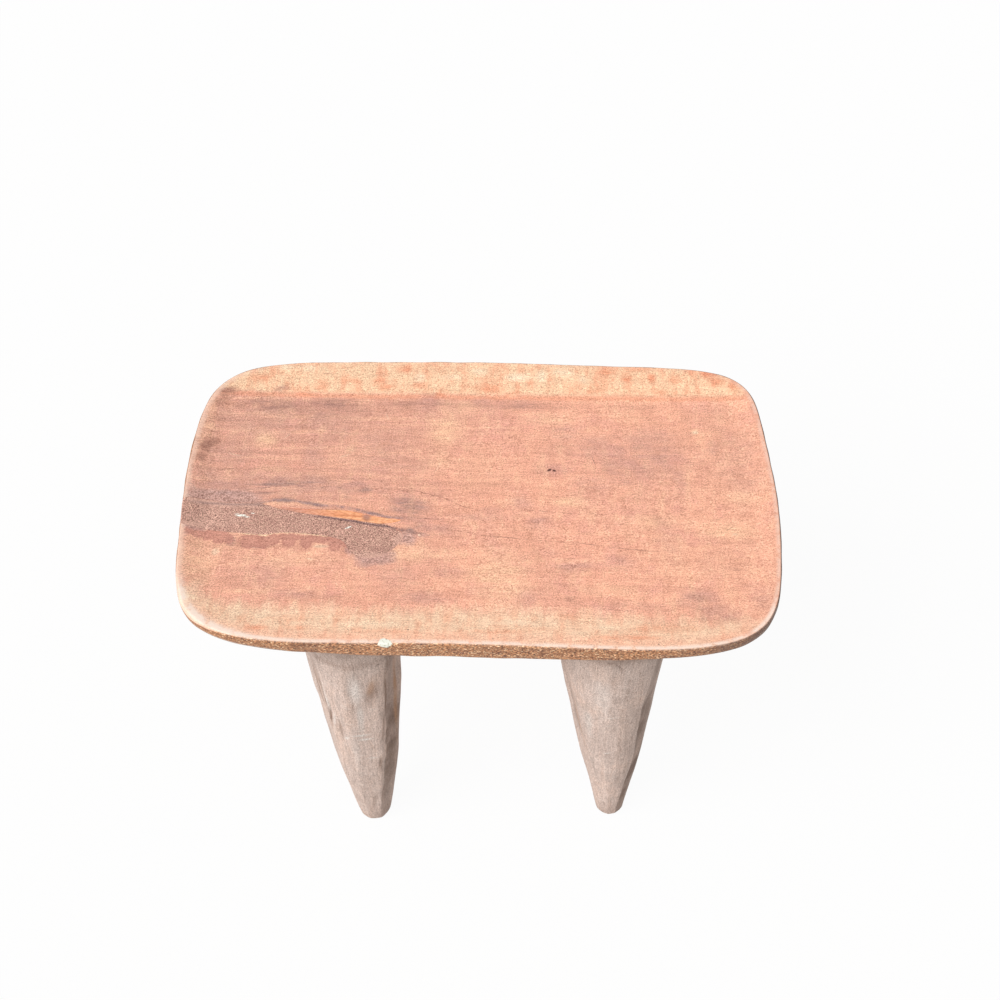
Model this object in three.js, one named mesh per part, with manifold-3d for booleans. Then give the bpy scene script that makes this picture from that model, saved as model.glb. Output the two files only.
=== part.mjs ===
// A low carved wooden stool: a dished seat board with rounded corners on four tapering legs.
// Millimetres, +Z up, +X along the seat, +Y towards the back. The floor is z = 0.
import * as THREE from 'three';
import { mergeVertices } from 'three/addons/utils/BufferGeometryUtils.js';
import Module from 'manifold-3d';

const wasm = await Module();
wasm.setup();

// Overall sizes of the stool.
const LENGTH = 520;
const DEPTH = 320;
const HEIGHT = 352;

// Gap between pieces that meet, and how far a cutter reaches past what it cuts.
const SEAM = 0.3;
const OVERRUN = 2;

// Seat board. Its rim is thickest at the middle of the long sides and thins towards the ends.
const RIM_THICKNESS = 21.3;
const END_THINNING = 9.3;
const DISH_DEPTH = 5;
const MARGIN_AT_SIDES = 42;
const MARGIN_AT_ENDS = 26;
const TOP_ROUNDING = 4;
const UNDER_ROUNDING = 4;
const UNDER_BULGE = 4;
const UNDER_BULGE_WIDTH = 35;
const SEAT_SEGMENTS = 120;

// How square each corner of the seat is: 2 is an ellipse, and more is squarer.
const CORNER_SQUARENESS = { frontLeft: 5.5, frontRight: 5.9, backLeft: 6.0, backRight: 7.5 };

// Hand-carved wander of the outline, in shares of half the depth, by waves round the seat.
const WANDER_SHARES = [
  { waves: 2, cosineShare: 0.026, sineShare: -0.015 },
  { waves: 3, cosineShare: 0.003, sineShare: -0.008 },
  { waves: 4, cosineShare: 0.010, sineShare: -0.004 },
  { waves: 5, cosineShare: 0.002, sineShare: 0.005 },
];

// Legs. A fullness of 1 tapers evenly, and less keeps the leg stout for longer.
const ROOT_RADIUS = 48;
const FOOT_RADIUS = 15;
const LEG_SPLAY = 5;
const FOOT_ROUNDING = 3.6;
const ROOT_FLARE = 4;
const ROOT_FLARE_HEIGHT = 30;
const ROOT_DEPTH_IN_SEAT = 12;
const FACET_CUT_SHARE = 0.014;
const LEG_SEGMENTS = 30;
const LEG_RINGS = 14;

// Each leg's foot in shares of half the seat's length and depth, its lean in shares of the splay,
// and its own root and foot in shares of the radii above.
const LEGS = [
  {
    name: 'leg_front_left', footShares: [-0.416, -0.70], splayShares: [-0.4, -1],
    rootShare: 0.92, footShare: 1.03, fullness: 0.67, facetTurn: 0.4,
  },
  {
    name: 'leg_front_right', footShares: [0.47, -0.645], splayShares: [1, -0.8],
    rootShare: 1.09, footShare: 0.95, fullness: 0.9, facetTurn: 1.7,
  },
  {
    name: 'leg_rear_left', footShares: [-0.43, 0.66], splayShares: [-0.8, 0.8],
    rootShare: 0.96, footShare: 1, fullness: 0.74, facetTurn: 2.9,
  },
  {
    name: 'leg_rear_right', footShares: [0.46, 0.65], splayShares: [0.8, 1],
    rootShare: 1, footShare: 0.97, fullness: 0.78, facetTurn: 4.2,
  },
];

// The filled crack at the left end. Its outline is in shares of its length, from the end of the
// board, and of its width, from the line of the crack.
const CRACK_LENGTH = 200;
const CRACK_WIDTH = 40;
const CRACK_LINE_Y = -18;
const PASTE_DEPTH = 3.5;
const PASTE_SINK = 0.4;
const PASTE_EDGE_SHARES = [
  [-0.02, 0.62], [0.12, 0.48], [0.20, 0.36], [0.28, 0.32], [0.40, 0.26], [0.43, 0.02],
  [0.53, -0.04], [0.62, -0.12], [0.73, -0.18], [0.82, -0.29], [0.90, -0.37], [0.95, -0.45],
  [0.99, -0.55], [0.965, -0.85], [0.92, -1.07], [0.86, -1.27], [0.80, -1.22], [0.765, -1.10],
  [0.743, -0.88], [0.725, -0.74], [0.67, -0.65], [0.59, -0.58], [0.50, -0.54], [0.44, -0.55],
  [0.39, -0.61], [0.33, -0.60], [0.27, -0.55], [0.19, -0.48], [0.05, -0.36], [-0.02, -0.30],
];

// The splint let into the crack, in the same shares.
const SPLINT_DEPTH = 5;
const SPLINT_SINK = 0.3;
const SPLINT_EDGE_SHARES = [
  [0.41, 0.21], [0.53, 0.11], [0.62, 0.10], [0.70, 0.09], [0.79, 0.05], [0.86, -0.06],
  [0.92, -0.11], [0.975, -0.16], [0.945, -0.34], [0.88, -0.33], [0.82, -0.25], [0.73, -0.15],
  [0.62, -0.10], [0.53, -0.02], [0.43, 0.08],
];

// The filled nick in the front arris.
const NICK_X = -70;
const NICK_LENGTH = 12;
const NICK_WIDTH = 8;
const NICK_HEIGHT = 7;
const NICK_SIDES = 14;
const NICK_BANDS = 8;

// Finishes read from the photograph.
const SEAT_WOOD = { color: 0xeba98f, roughness: 0.62, metalness: 0 };
const LEG_WOOD = { color: 0xcdb4a6, roughness: 0.85, metalness: 0 };
const CRACK_PASTE = { color: 0xbf9688, roughness: 0.9, metalness: 0 };
const FRESH_SPLINT = { color: 0xf0a66c, roughness: 0.6, metalness: 0 };
const WHITE_FILLER = { color: 0xe3e6d4, roughness: 0.8, metalness: 0 };

const HALF_LENGTH = LENGTH / 2;
const HALF_DEPTH = DEPTH / 2;

// Turns a closed three.js geometry into a solid, with the vertices at each place merged.
function toSolid(geometry) {
  const bare = new THREE.BufferGeometry();
  bare.setAttribute('position', geometry.getAttribute('position').clone());
  if (geometry.index) bare.setIndex(geometry.index.clone());
  const merged = mergeVertices(bare, SEAM / 100);
  const triangles = [];
  const index = merged.index.array;
  for (let i = 0; i < index.length; i += 3) {
    const [a, b, c] = [index[i], index[i + 1], index[i + 2]];
    if (a !== b && b !== c && c !== a) triangles.push(a, b, c);
  }
  return new wasm.Manifold(new wasm.Mesh({
    numProp: 3,
    vertProperties: new Float32Array(merged.getAttribute('position').array),
    triVerts: new Uint32Array(triangles),
  }));
}

// Turns a solid back into a named mesh with its finish.
function toMesh(name, solid, finish) {
  const { vertProperties, triVerts } = solid.getMesh();
  const geometry = new THREE.BufferGeometry();
  geometry.setAttribute('position', new THREE.BufferAttribute(vertProperties, 3));
  geometry.setIndex(new THREE.BufferAttribute(triVerts, 1));
  geometry.computeVertexNormals();
  const mesh = new THREE.Mesh(geometry, new THREE.MeshStandardMaterial(finish));
  mesh.name = name;
  return mesh;
}

// Moves every vertex of a geometry by a rule that takes and returns a point.
function reshape(geometry, rule) {
  const position = geometry.getAttribute('position');
  const point = new THREE.Vector3();
  for (let i = 0; i < position.count; i += 1) {
    point.fromBufferAttribute(position, i);
    rule(point);
    position.setXYZ(i, point.x, point.y, point.z);
  }
  return geometry;
}

// A solid of revolution about Z from (radius, height) points that run from the bottom to the top.
function turned(profile, segments) {
  const points = profile.map(([radius, height]) => new THREE.Vector2(radius, height));
  const geometry = new THREE.LatheGeometry(points, segments);
  geometry.rotateX(Math.PI / 2);
  return geometry;
}

// Points of a quarter round, as shares of its radius: in from the side and up from its start.
function quarterRound(steps) {
  return Array.from({ length: steps + 1 }, (_, i) => {
    const angle = (Math.PI / 2) * (i / steps);
    return { inShare: 1 - Math.cos(angle), upShare: Math.sin(angle) };
  });
}

// Smooth step from 0 at the start to 1 at the end.
function ease(value, start, end) {
  const t = THREE.MathUtils.clamp((value - start) / (end - start), 0, 1);
  return t * t * (3 - 2 * t);
}

// Distance from the middle of the seat to its raw outline: a superellipse whose squareness goes
// smoothly from corner to corner, with the wander added.
function rawOutlineRadius(angle) {
  const c = Math.cos(angle);
  const s = Math.sin(angle);
  const right = 0.5 + 0.5 * Math.sin((Math.PI / 2) * c);
  const back = 0.5 + 0.5 * Math.sin((Math.PI / 2) * s);
  const n = (1 - back) * ((1 - right) * CORNER_SQUARENESS.frontLeft + right * CORNER_SQUARENESS.frontRight)
    + back * ((1 - right) * CORNER_SQUARENESS.backLeft + right * CORNER_SQUARENESS.backRight);
  const bearing = Math.atan2(HALF_DEPTH * s, HALF_LENGTH * c);
  const across = Math.abs(Math.cos(bearing) / HALF_LENGTH) ** n;
  const along = Math.abs(Math.sin(bearing) / HALF_DEPTH) ** n;
  const wander = WANDER_SHARES.reduce((sum, { waves, cosineShare, sineShare }) => (
    sum + cosineShare * Math.cos(waves * angle) + sineShare * Math.sin(waves * angle)), 0);
  return { bearing, radius: (across + along) ** (-1 / n) + wander * HALF_DEPTH };
}

// A point of the raw outline.
function rawOutline(angle) {
  const { bearing, radius } = rawOutlineRadius(angle);
  return new THREE.Vector2(radius * Math.cos(bearing), radius * Math.sin(bearing));
}

// The box round the raw outline, over the same angles that the seat uses.
const rawBox = new THREE.Box2().setFromPoints(
  Array.from({ length: SEAT_SEGMENTS }, (_, i) => rawOutline((2 * Math.PI * i) / SEAT_SEGMENTS)),
);
const rawSize = rawBox.getSize(new THREE.Vector2());
const rawCentre = rawBox.getCenter(new THREE.Vector2());

// A point of the outline, brought to the stool's length and depth.
function outline(angle) {
  const point = rawOutline(angle).sub(rawCentre);
  return point.set((point.x * LENGTH) / rawSize.x, (point.y * DEPTH) / rawSize.y);
}

// Inset at the ends that goes with an inset at the long sides: the margins are narrower there.
function insetAtEnds(inset) {
  if (inset <= TOP_ROUNDING) return inset;
  const narrowing = (MARGIN_AT_ENDS - TOP_ROUNDING) / (MARGIN_AT_SIDES - TOP_ROUNDING);
  return TOP_ROUNDING + (inset - TOP_ROUNDING) * narrowing;
}

// Carries a point of the round blank to the stool's outline, and thins the rim towards the ends.
function shapeSeatPoint(point) {
  const reach = Math.hypot(point.x, point.y);
  const margin = Math.min(HALF_DEPTH - reach, MARGIN_AT_SIDES);
  const inward = reach / (HALF_DEPTH - margin);
  const edge = outline(Math.atan2(point.y, point.x));
  point.x = edge.x * (1 - insetAtEnds(margin) / HALF_LENGTH) * inward;
  point.y = edge.y * (1 - margin / HALF_DEPTH) * inward;
  const thinning = END_THINNING * Math.sin((Math.PI * point.x) / LENGTH) ** 2;
  point.z += thinning * ease(-point.z, TOP_ROUNDING, RIM_THICKNESS - UNDER_ROUNDING);
}

// The seat board before its crack and nick, with the top of its rim at z = 0.
function seatBlank() {
  const bottom = -RIM_THICKNESS;
  const profile = [[0, bottom - UNDER_BULGE]];
  const fieldReach = HALF_DEPTH - MARGIN_AT_SIDES;
  for (const share of [0.35, 0.7]) profile.push([fieldReach * share, bottom - UNDER_BULGE]);
  for (const share of [1, 0.8, 0.6, 0.4, 0.2]) {
    const inset = UNDER_ROUNDING + (UNDER_BULGE_WIDTH - UNDER_ROUNDING) * share;
    profile.push([HALF_DEPTH - inset, bottom - UNDER_BULGE * ease(share, 0, 1)]);
  }
  for (const { inShare, upShare } of quarterRound(4)) {
    profile.push([
      HALF_DEPTH - UNDER_ROUNDING * (1 - upShare),
      bottom + UNDER_ROUNDING * inShare,
    ]);
  }
  profile.push([HALF_DEPTH, (bottom + UNDER_ROUNDING - TOP_ROUNDING) / 2]);
  for (const { inShare, upShare } of quarterRound(5)) {
    profile.push([HALF_DEPTH - TOP_ROUNDING * inShare, TOP_ROUNDING * (upShare - 1)]);
  }
  for (const share of [0.15, 0.35, 0.6, 0.8, 0.93, 1]) {
    const inset = TOP_ROUNDING + (MARGIN_AT_SIDES - TOP_ROUNDING) * share;
    profile.push([HALF_DEPTH - inset, -DISH_DEPTH * ease(share, 0, 1)]);
  }
  profile.push([0, -DISH_DEPTH]);
  return toSolid(reshape(turned(profile, SEAT_SEGMENTS), shapeSeatPoint));
}

// Carries edge shares of the crack to places on the seat.
function crackPlaces(edgeShares) {
  return edgeShares.map(([alongShare, acrossShare]) => new THREE.Vector2(
    -HALF_LENGTH + alongShare * CRACK_LENGTH,
    CRACK_LINE_Y + acrossShare * CRACK_WIDTH,
  ));
}

// A closed outline moved inwards by a clearance, whichever way round it runs.
function movedIn(places, clearance) {
  const side = THREE.ShapeUtils.isClockWise(places) ? -1 : 1;
  return places.map((place, i) => {
    const before = places[(i + places.length - 1) % places.length];
    const after = places[(i + 1) % places.length];
    const into = place.clone().sub(before).normalize();
    const out = after.clone().sub(place).normalize();
    const along = into.clone().add(out).normalize();
    const spread = clearance / Math.max(along.dot(into), 0.5);
    return place.clone().add(new THREE.Vector2(-along.y, along.x).multiplyScalar(side * spread));
  });
}

// A prism over an outline, from a floor below the rim's top to above the seat.
function prism(places, floor) {
  const geometry = new THREE.ExtrudeGeometry(new THREE.Shape(places), {
    depth: floor + OVERRUN,
    bevelEnabled: false,
  });
  geometry.translate(0, 0, -floor);
  return toSolid(geometry);
}

// An egg-shaped solid at the front arris, where the nick is.
function nickEgg(clearance) {
  const geometry = new THREE.SphereGeometry(1, NICK_SIDES, NICK_BANDS);
  geometry.scale(
    NICK_LENGTH / 2 - clearance,
    NICK_WIDTH / 2 - clearance,
    NICK_HEIGHT / 2 - clearance,
  );
  geometry.translate(NICK_X, frontEdgeAt(NICK_X) + TOP_ROUNDING / 2, -TOP_ROUNDING / 2);
  return toSolid(geometry);
}

// The y of the outline's front edge at a given x, between the two angles that hold it.
function frontEdgeAt(x) {
  for (let i = SEAT_SEGMENTS / 2; i < SEAT_SEGMENTS; i += 1) {
    const from = outline((2 * Math.PI * i) / SEAT_SEGMENTS);
    const to = outline((2 * Math.PI * (i + 1)) / SEAT_SEGMENTS);
    if (from.x <= x && x <= to.x) {
      return THREE.MathUtils.mapLinear(x, from.x, to.x, from.y, to.y);
    }
  }
  return -HALF_DEPTH;
}

// Seat board with the pocket of the crack, the slot of the splint and the nick cut out.
function seatBoard(blank) {
  const pocket = prism(crackPlaces(PASTE_EDGE_SHARES), DISH_DEPTH + PASTE_DEPTH);
  const slot = prism(crackPlaces(SPLINT_EDGE_SHARES), DISH_DEPTH + SPLINT_DEPTH);
  const solid = blank.subtract(pocket).subtract(slot).subtract(nickEgg(0));
  return toMesh('seat_board', solid, SEAT_WOOD);
}

// Paste in the pocket, with a seam all round, and cut back where the splint lies.
function crackPaste(blank) {
  const floor = DISH_DEPTH + PASTE_DEPTH - SEAM;
  const fill = prism(movedIn(crackPlaces(PASTE_EDGE_SHARES), SEAM), floor);
  const slot = prism(crackPlaces(SPLINT_EDGE_SHARES), DISH_DEPTH + SPLINT_DEPTH);
  const solid = fill.intersect(blank.translate([0, 0, -PASTE_SINK])).subtract(slot);
  return toMesh('crack_paste_fill', solid, CRACK_PASTE);
}

// Splint in its slot, with a seam all round.
function crackSplint(blank) {
  const floor = DISH_DEPTH + SPLINT_DEPTH - SEAM;
  const strip = prism(movedIn(crackPlaces(SPLINT_EDGE_SHARES), SEAM), floor);
  return toMesh('crack_splint', strip.intersect(blank.translate([0, 0, -SPLINT_SINK])), FRESH_SPLINT);
}

// Filler in the nick, flush with the arris.
function nickFiller(blank) {
  return toMesh('rim_chip_fill', nickEgg(SEAM).intersect(blank), WHITE_FILLER);
}

// Radius of a leg at a height, without its facets.
function legRadius(leg, height, top) {
  const foot = FOOT_RADIUS * leg.footShare;
  const root = ROOT_RADIUS * leg.rootShare;
  const flare = ROOT_FLARE * ease(height, top - ROOT_FLARE_HEIGHT, top) ** 2;
  return foot + (root - foot) * (height / top) ** leg.fullness + flare;
}

// Adze facets: long flats of unlike width that turn slowly up the leg.
function facetShare(leg, angle, heightShare) {
  const turn = leg.facetTurn + heightShare;
  return FACET_CUT_SHARE * (Math.cos(5 * angle + turn) + Math.cos(8 * angle - 2 * turn));
}

// One leg with its foot at the origin. Its root is cut off by the underside of the seat.
function legMesh(leg, blank) {
  const [footX, footY] = [HALF_LENGTH * leg.footShares[0], HALF_DEPTH * leg.footShares[1]];
  const [leanX, leanY] = leg.splayShares.map((share) => LEG_SPLAY * share);
  const top = HEIGHT - ROOT_DEPTH_IN_SEAT;
  const flat = legRadius(leg, FOOT_ROUNDING, top) - FOOT_ROUNDING;
  const profile = [[0, 0]];
  for (const { inShare, upShare } of quarterRound(4)) {
    profile.push([flat + FOOT_ROUNDING * upShare, FOOT_ROUNDING * inShare]);
  }
  for (let ring = 1; ring <= LEG_RINGS; ring += 1) {
    const height = FOOT_ROUNDING + (top - FOOT_ROUNDING) * (ring / LEG_RINGS);
    profile.push([legRadius(leg, height, top), height]);
  }
  profile.push([0, top]);
  const geometry = reshape(turned(profile, LEG_SEGMENTS), (point) => {
    const heightShare = point.z / top;
    const cut = 1 + facetShare(leg, Math.atan2(point.y, point.x), heightShare);
    point.x = point.x * cut - leanX * heightShare;
    point.y = point.y * cut - leanY * heightShare;
  });
  const seat = blank.translate([-footX, -footY, HEIGHT - SEAM]);
  const mesh = toMesh(leg.name, toSolid(geometry).subtract(seat), LEG_WOOD);
  mesh.position.set(footX, footY, 0);
  return mesh;
}

// The seat and what is let into it share one group at the height of the rim's top.
const blank = seatBlank();
const seat = new THREE.Group();
seat.name = 'seat';
seat.position.z = HEIGHT;
seat.add(seatBoard(blank), crackPaste(blank), crackSplint(blank), nickFiller(blank));

const group = new THREE.Group();
group.name = 'carved_stool';
group.add(seat);
for (const leg of LEGS) group.add(legMesh(leg, blank));

export default group;
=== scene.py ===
"""A low stool carved from one block of reddish hardwood, dressed as its photograph shows it.

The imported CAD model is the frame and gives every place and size. Each visible piece is a surface
worked out here with numpy, in metres: the floor is z = 0, +X runs along the seat and +Y towards
its back. The seat is oiled and polished by use, the legs and the underside are bare and grey.
"""

from __future__ import annotations

import logging
import math
from dataclasses import dataclass, field
from enum import Enum
from functools import cached_property
from typing import Any, Mapping, Sequence

import bpy
import numpy as np
from mathutils import Matrix, Vector

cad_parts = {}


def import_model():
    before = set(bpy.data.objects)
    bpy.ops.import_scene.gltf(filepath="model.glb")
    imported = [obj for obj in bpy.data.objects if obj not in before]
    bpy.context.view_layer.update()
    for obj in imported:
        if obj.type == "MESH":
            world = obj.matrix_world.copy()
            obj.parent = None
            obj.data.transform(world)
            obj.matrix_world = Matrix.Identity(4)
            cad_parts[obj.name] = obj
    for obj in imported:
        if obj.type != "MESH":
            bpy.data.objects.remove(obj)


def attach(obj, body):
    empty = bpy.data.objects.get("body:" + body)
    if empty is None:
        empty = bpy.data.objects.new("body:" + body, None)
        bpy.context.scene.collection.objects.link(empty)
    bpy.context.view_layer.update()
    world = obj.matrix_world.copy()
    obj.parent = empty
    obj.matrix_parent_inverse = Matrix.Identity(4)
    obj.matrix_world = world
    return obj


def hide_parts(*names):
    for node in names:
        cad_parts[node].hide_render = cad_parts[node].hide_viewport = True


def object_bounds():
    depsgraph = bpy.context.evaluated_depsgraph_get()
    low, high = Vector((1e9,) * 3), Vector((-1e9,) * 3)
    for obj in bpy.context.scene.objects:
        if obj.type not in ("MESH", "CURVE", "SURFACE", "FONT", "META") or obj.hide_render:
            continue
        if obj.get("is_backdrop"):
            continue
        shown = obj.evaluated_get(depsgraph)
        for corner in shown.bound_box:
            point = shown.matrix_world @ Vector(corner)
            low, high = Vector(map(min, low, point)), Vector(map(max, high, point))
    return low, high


LOG = logging.getLogger("stool")
MM = 0.001
GRAIN_SEED = 11
WHITE = (1.0, 1.0, 1.0, 1.0)
# How many places are compared with their targets at once, so that they fit the memory.
PLACES_AT_ONCE = 3000
# Nearly all of a noise lies between these.
NOISE_LOW, NOISE_HIGH = 0.3, 0.7
# How far a soft stain reaches, in shares of its ellipse's radius.
STAIN_REACH = 1.25
# How far a crack's ends fade along the grain.
LINE_FADE = 8.0 * MM
# Edges sharper than this stay sharp, on the cut pieces and on the round ones.
SHARP_DEG, ROUND_DEG = 50.0, 60.0
# The adze scoops of the underside: how they are stretched along x, and how far apart they are.
STRETCH_UNDER, SCOOP_SPACING = (0.7, 1.0), 27 * MM
# The x and y of the seat's front left corner, which is worn most.
WORN_CORNER = (-240 * MM, -118 * MM)


def linear(hex_colour: str) -> tuple[float, float, float, float]:
    """Turn an sRGB hex colour into a linear one with full alpha: ((s + 0.055) / 1.055)^2.4.

    Args:
        hex_colour: A colour such as "#F0AF95".

    Returns:
        Red, green, blue and alpha, from 0 to 1.
    """
    shares = [int(hex_colour[i : i + 2], 16) / 255 for i in (1, 3, 5)]
    red, green, blue = (s / 12.92 if s <= 0.04045 else ((s + 0.055) / 1.055) ** 2.4 for s in shares)
    return (red, green, blue, 1.0)


def ease(value: np.ndarray, start: float, end: float) -> np.ndarray:
    """Smooth step: 3t^2 - 2t^3, with t going from 0 at start to 1 at end."""
    t = np.clip((value - start) / (end - start), 0.0, 1.0)
    return t * t * (3.0 - 2.0 * t)


def waves(places: np.ndarray, length: float, seed: int, count: int = 9) -> np.ndarray:
    """Smooth hand-like unevenness: a sum of sines of random direction and nearly equal length.

    Args:
        places: Points in a plane, one row each, in metres.
        length: The usual distance from crest to crest, in metres.
        seed: Seed of the directions, lengths and phases.
        count: How many sines are summed.

    Returns:
        One value per point, mostly between -1 and 1.
    """
    rng = np.random.default_rng(seed)
    heading = rng.uniform(0.0, 2.0 * np.pi, count)
    pitch = 2.0 * np.pi / (length * rng.uniform(0.7, 1.5, count))
    phase = rng.uniform(0.0, 2.0 * np.pi, count)
    steps = np.stack([np.cos(heading) * pitch, np.sin(heading) * pitch])
    return np.sin(places @ steps + phase).sum(axis=1) * math.sqrt(2.0 / count) * 0.6


def nearest(places: np.ndarray, targets: np.ndarray) -> tuple[np.ndarray, np.ndarray]:
    """Find the nearest target to each place, in blocks that fit the memory.

    Args:
        places: One row of x and y per place.
        targets: One row of x and y per target.

    Returns:
        The target's index and the square of its distance, per place.
    """
    index, square = np.empty(len(places), dtype=int), np.empty(len(places))
    for block in np.array_split(np.arange(len(places)), max(1, len(places) // PLACES_AT_ONCE)):
        gaps = ((places[block, None] - targets[None]) ** 2).sum(axis=2)
        index[block], square[block] = gaps.argmin(axis=1), gaps.min(axis=1)
    return index, square


def scoops(places: np.ndarray, reach: float, spacing: float, seed: int) -> np.ndarray:
    """Adze scoops: shallow bowls side by side, each as deep as the square of its distance is small.

    Args:
        places: Points in a plane, one row each, in metres.
        reach: Half the side of the square that the scoops cover, in metres.
        spacing: The usual distance between two scoops, in metres.
        seed: Seed of their places.

    Returns:
        0 in the middle of a scoop, and about 1 on the ridges between them.
    """
    rng = np.random.default_rng(seed)
    count = int((2.0 * reach / spacing) ** 2)
    _, square = nearest(places, rng.uniform(-reach, reach, (count, 2)))
    return np.clip(square / (0.62 * spacing) ** 2, 0.0, 1.3)


def inward(steps: np.ndarray) -> np.ndarray:
    """Unit vectors square to the steps of an anticlockwise path, towards its inside."""
    along = steps / np.linalg.norm(steps, axis=1, keepdims=True)
    return np.stack([-along[:, 1], along[:, 0]], axis=1)


def grid_faces(rows: int, columns: int, start: int = 0, closed: bool = False) -> np.ndarray:
    """Quads of a grid of vertices that is stored row by row.

    Args:
        rows: How many rows of vertices.
        columns: How many vertices in a row.
        start: Index of the first vertex.
        closed: Whether the last column joins the first.

    Returns:
        One row of four vertex indices per quad.
    """
    index = start + np.arange(rows * columns).reshape(rows, columns)
    if closed:
        index = np.concatenate([index, index[:, :1]], axis=1)
    corners = (index[:-1, :-1], index[:-1, 1:], index[1:, 1:], index[1:, :-1])
    return np.stack(corners, axis=-1).reshape(-1, 4)


def capped_faces(rings: int, sides: int) -> tuple[np.ndarray, np.ndarray, np.ndarray]:
    """Faces of a tube and of the fans that close it, with their hubs stored after its rings.

    Args:
        rings: How many rings of vertices the tube has, from its lower end up.
        sides: How many vertices each ring has.

    Returns:
        The faces of the tube, of its lower fan and of its upper fan.
    """
    ring, hub = np.arange(sides), rings * sides
    fans = ((ring[::-1], hub), (hub - sides + ring, hub + 1))
    caps = [np.stack([r, np.roll(r, -1), np.full(sides, middle)], axis=1) for r, middle in fans]
    return grid_faces(rings, sides, closed=True), *caps


def add_object(name: str, data: bpy.types.ID) -> bpy.types.Object:
    """Make an object at the origin, and link it to the scene.

    Args:
        name: The object's name.
        data: Its mesh, lamp or camera.

    Returns:
        The new object.
    """
    made = bpy.data.objects.new(name, data)
    bpy.context.scene.collection.objects.link(made)
    return made


def make_piece(name: str, vertices: np.ndarray, *faces: np.ndarray) -> bpy.types.Object:
    """Make a mesh object at the origin from arrays.

    Args:
        name: The object's name.
        vertices: One row of x, y and z per vertex, in metres.
        faces: Arrays of vertex indices, with one row per face.

    Returns:
        The new object.
    """
    mesh = bpy.data.meshes.new(name)
    mesh.from_pydata(vertices.tolist(), [], [face for block in faces for face in block.tolist()])
    mesh.validate()
    return add_object(name, mesh)


def vertex_places(piece: bpy.types.Object) -> np.ndarray:
    """Read where the vertices of a piece are.

    Args:
        piece: The piece.

    Returns:
        One row of x, y and z per vertex, in metres.
    """
    places = np.empty(len(piece.data.vertices) * 3)
    piece.data.vertices.foreach_get("co", places)
    return places.reshape(-1, 3)


def move_vertices(piece: bpy.types.Object, places: np.ndarray) -> None:
    """Put every vertex of a piece at its new place."""
    piece.data.vertices.foreach_set("co", places.ravel())
    piece.data.update()


def store(piece: bpy.types.Object, name: str, values: np.ndarray) -> None:
    """Keep a value per vertex of a piece for its material.

    Args:
        piece: The piece.
        name: The name that its material reads them by.
        values: One number, or one linear colour and its share, per vertex.
    """
    kind, part = ("FLOAT_COLOR", "color") if values.ndim == 2 else ("FLOAT", "value")
    kept = piece.data.attributes.new(name, kind, "POINT")
    kept.data.foreach_set(part, values.astype(np.float32).ravel())


class Carve(Enum):
    """How a second solid changes a piece."""

    CUT = "DIFFERENCE"
    KEEP_SHARED = "INTERSECT"


def apply_steps(piece: bpy.types.Object) -> None:
    """Turn a piece's modifiers into mesh.

    Args:
        piece: The piece.
    """
    made = bpy.data.meshes.new_from_object(piece.evaluated_get(bpy.context.evaluated_depsgraph_get()))
    piece.modifiers.clear()
    piece.data = made


def carve(piece: bpy.types.Object, tool: bpy.types.Object, way: Carve) -> None:
    """Cut a piece with another solid, or keep what the two share.

    Args:
        piece: The piece, which changes.
        tool: The other solid, which stays as it is.
        way: What is done with it.
    """
    step = piece.modifiers.new("carve", "BOOLEAN")
    step.object, step.operation, step.solver = tool, way.value, "MANIFOLD"
    apply_steps(piece)


def refine(piece: bpy.types.Object) -> None:
    """Split every face of a piece in four, without moving its surface.

    Args:
        piece: The piece.
    """
    step = piece.modifiers.new("refine", "SUBSURF")
    step.subdivision_type, step.levels, step.render_levels = "SIMPLE", 1, 1
    apply_steps(piece)


def soften(piece: bpy.types.Object, arris_deg: float) -> None:
    """Shade a piece smooth, and keep the edges sharper than an angle."""
    piece.data.shade_smooth()
    piece.data.set_sharp_from_angle(angle=math.radians(arris_deg))


def sunk_copy(name: str, blank: bpy.types.Object, depth: float) -> bpy.types.Object:
    """Copy the board a little lower, so that a fill takes its top from it.

    Args:
        name: The copy's name.
        blank: The uncut board.
        depth: How far it is lowered, in metres.

    Returns:
        The copy.
    """
    piece = add_object(name, blank.data.copy())
    piece.data.name = name
    move_vertices(piece, vertex_places(piece) - [0.0, 0.0, depth])
    return piece


def discard(*pieces: bpy.types.Object) -> None:
    """Remove solids that only served to cut others."""
    for piece in pieces:
        bpy.data.objects.remove(piece)


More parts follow.
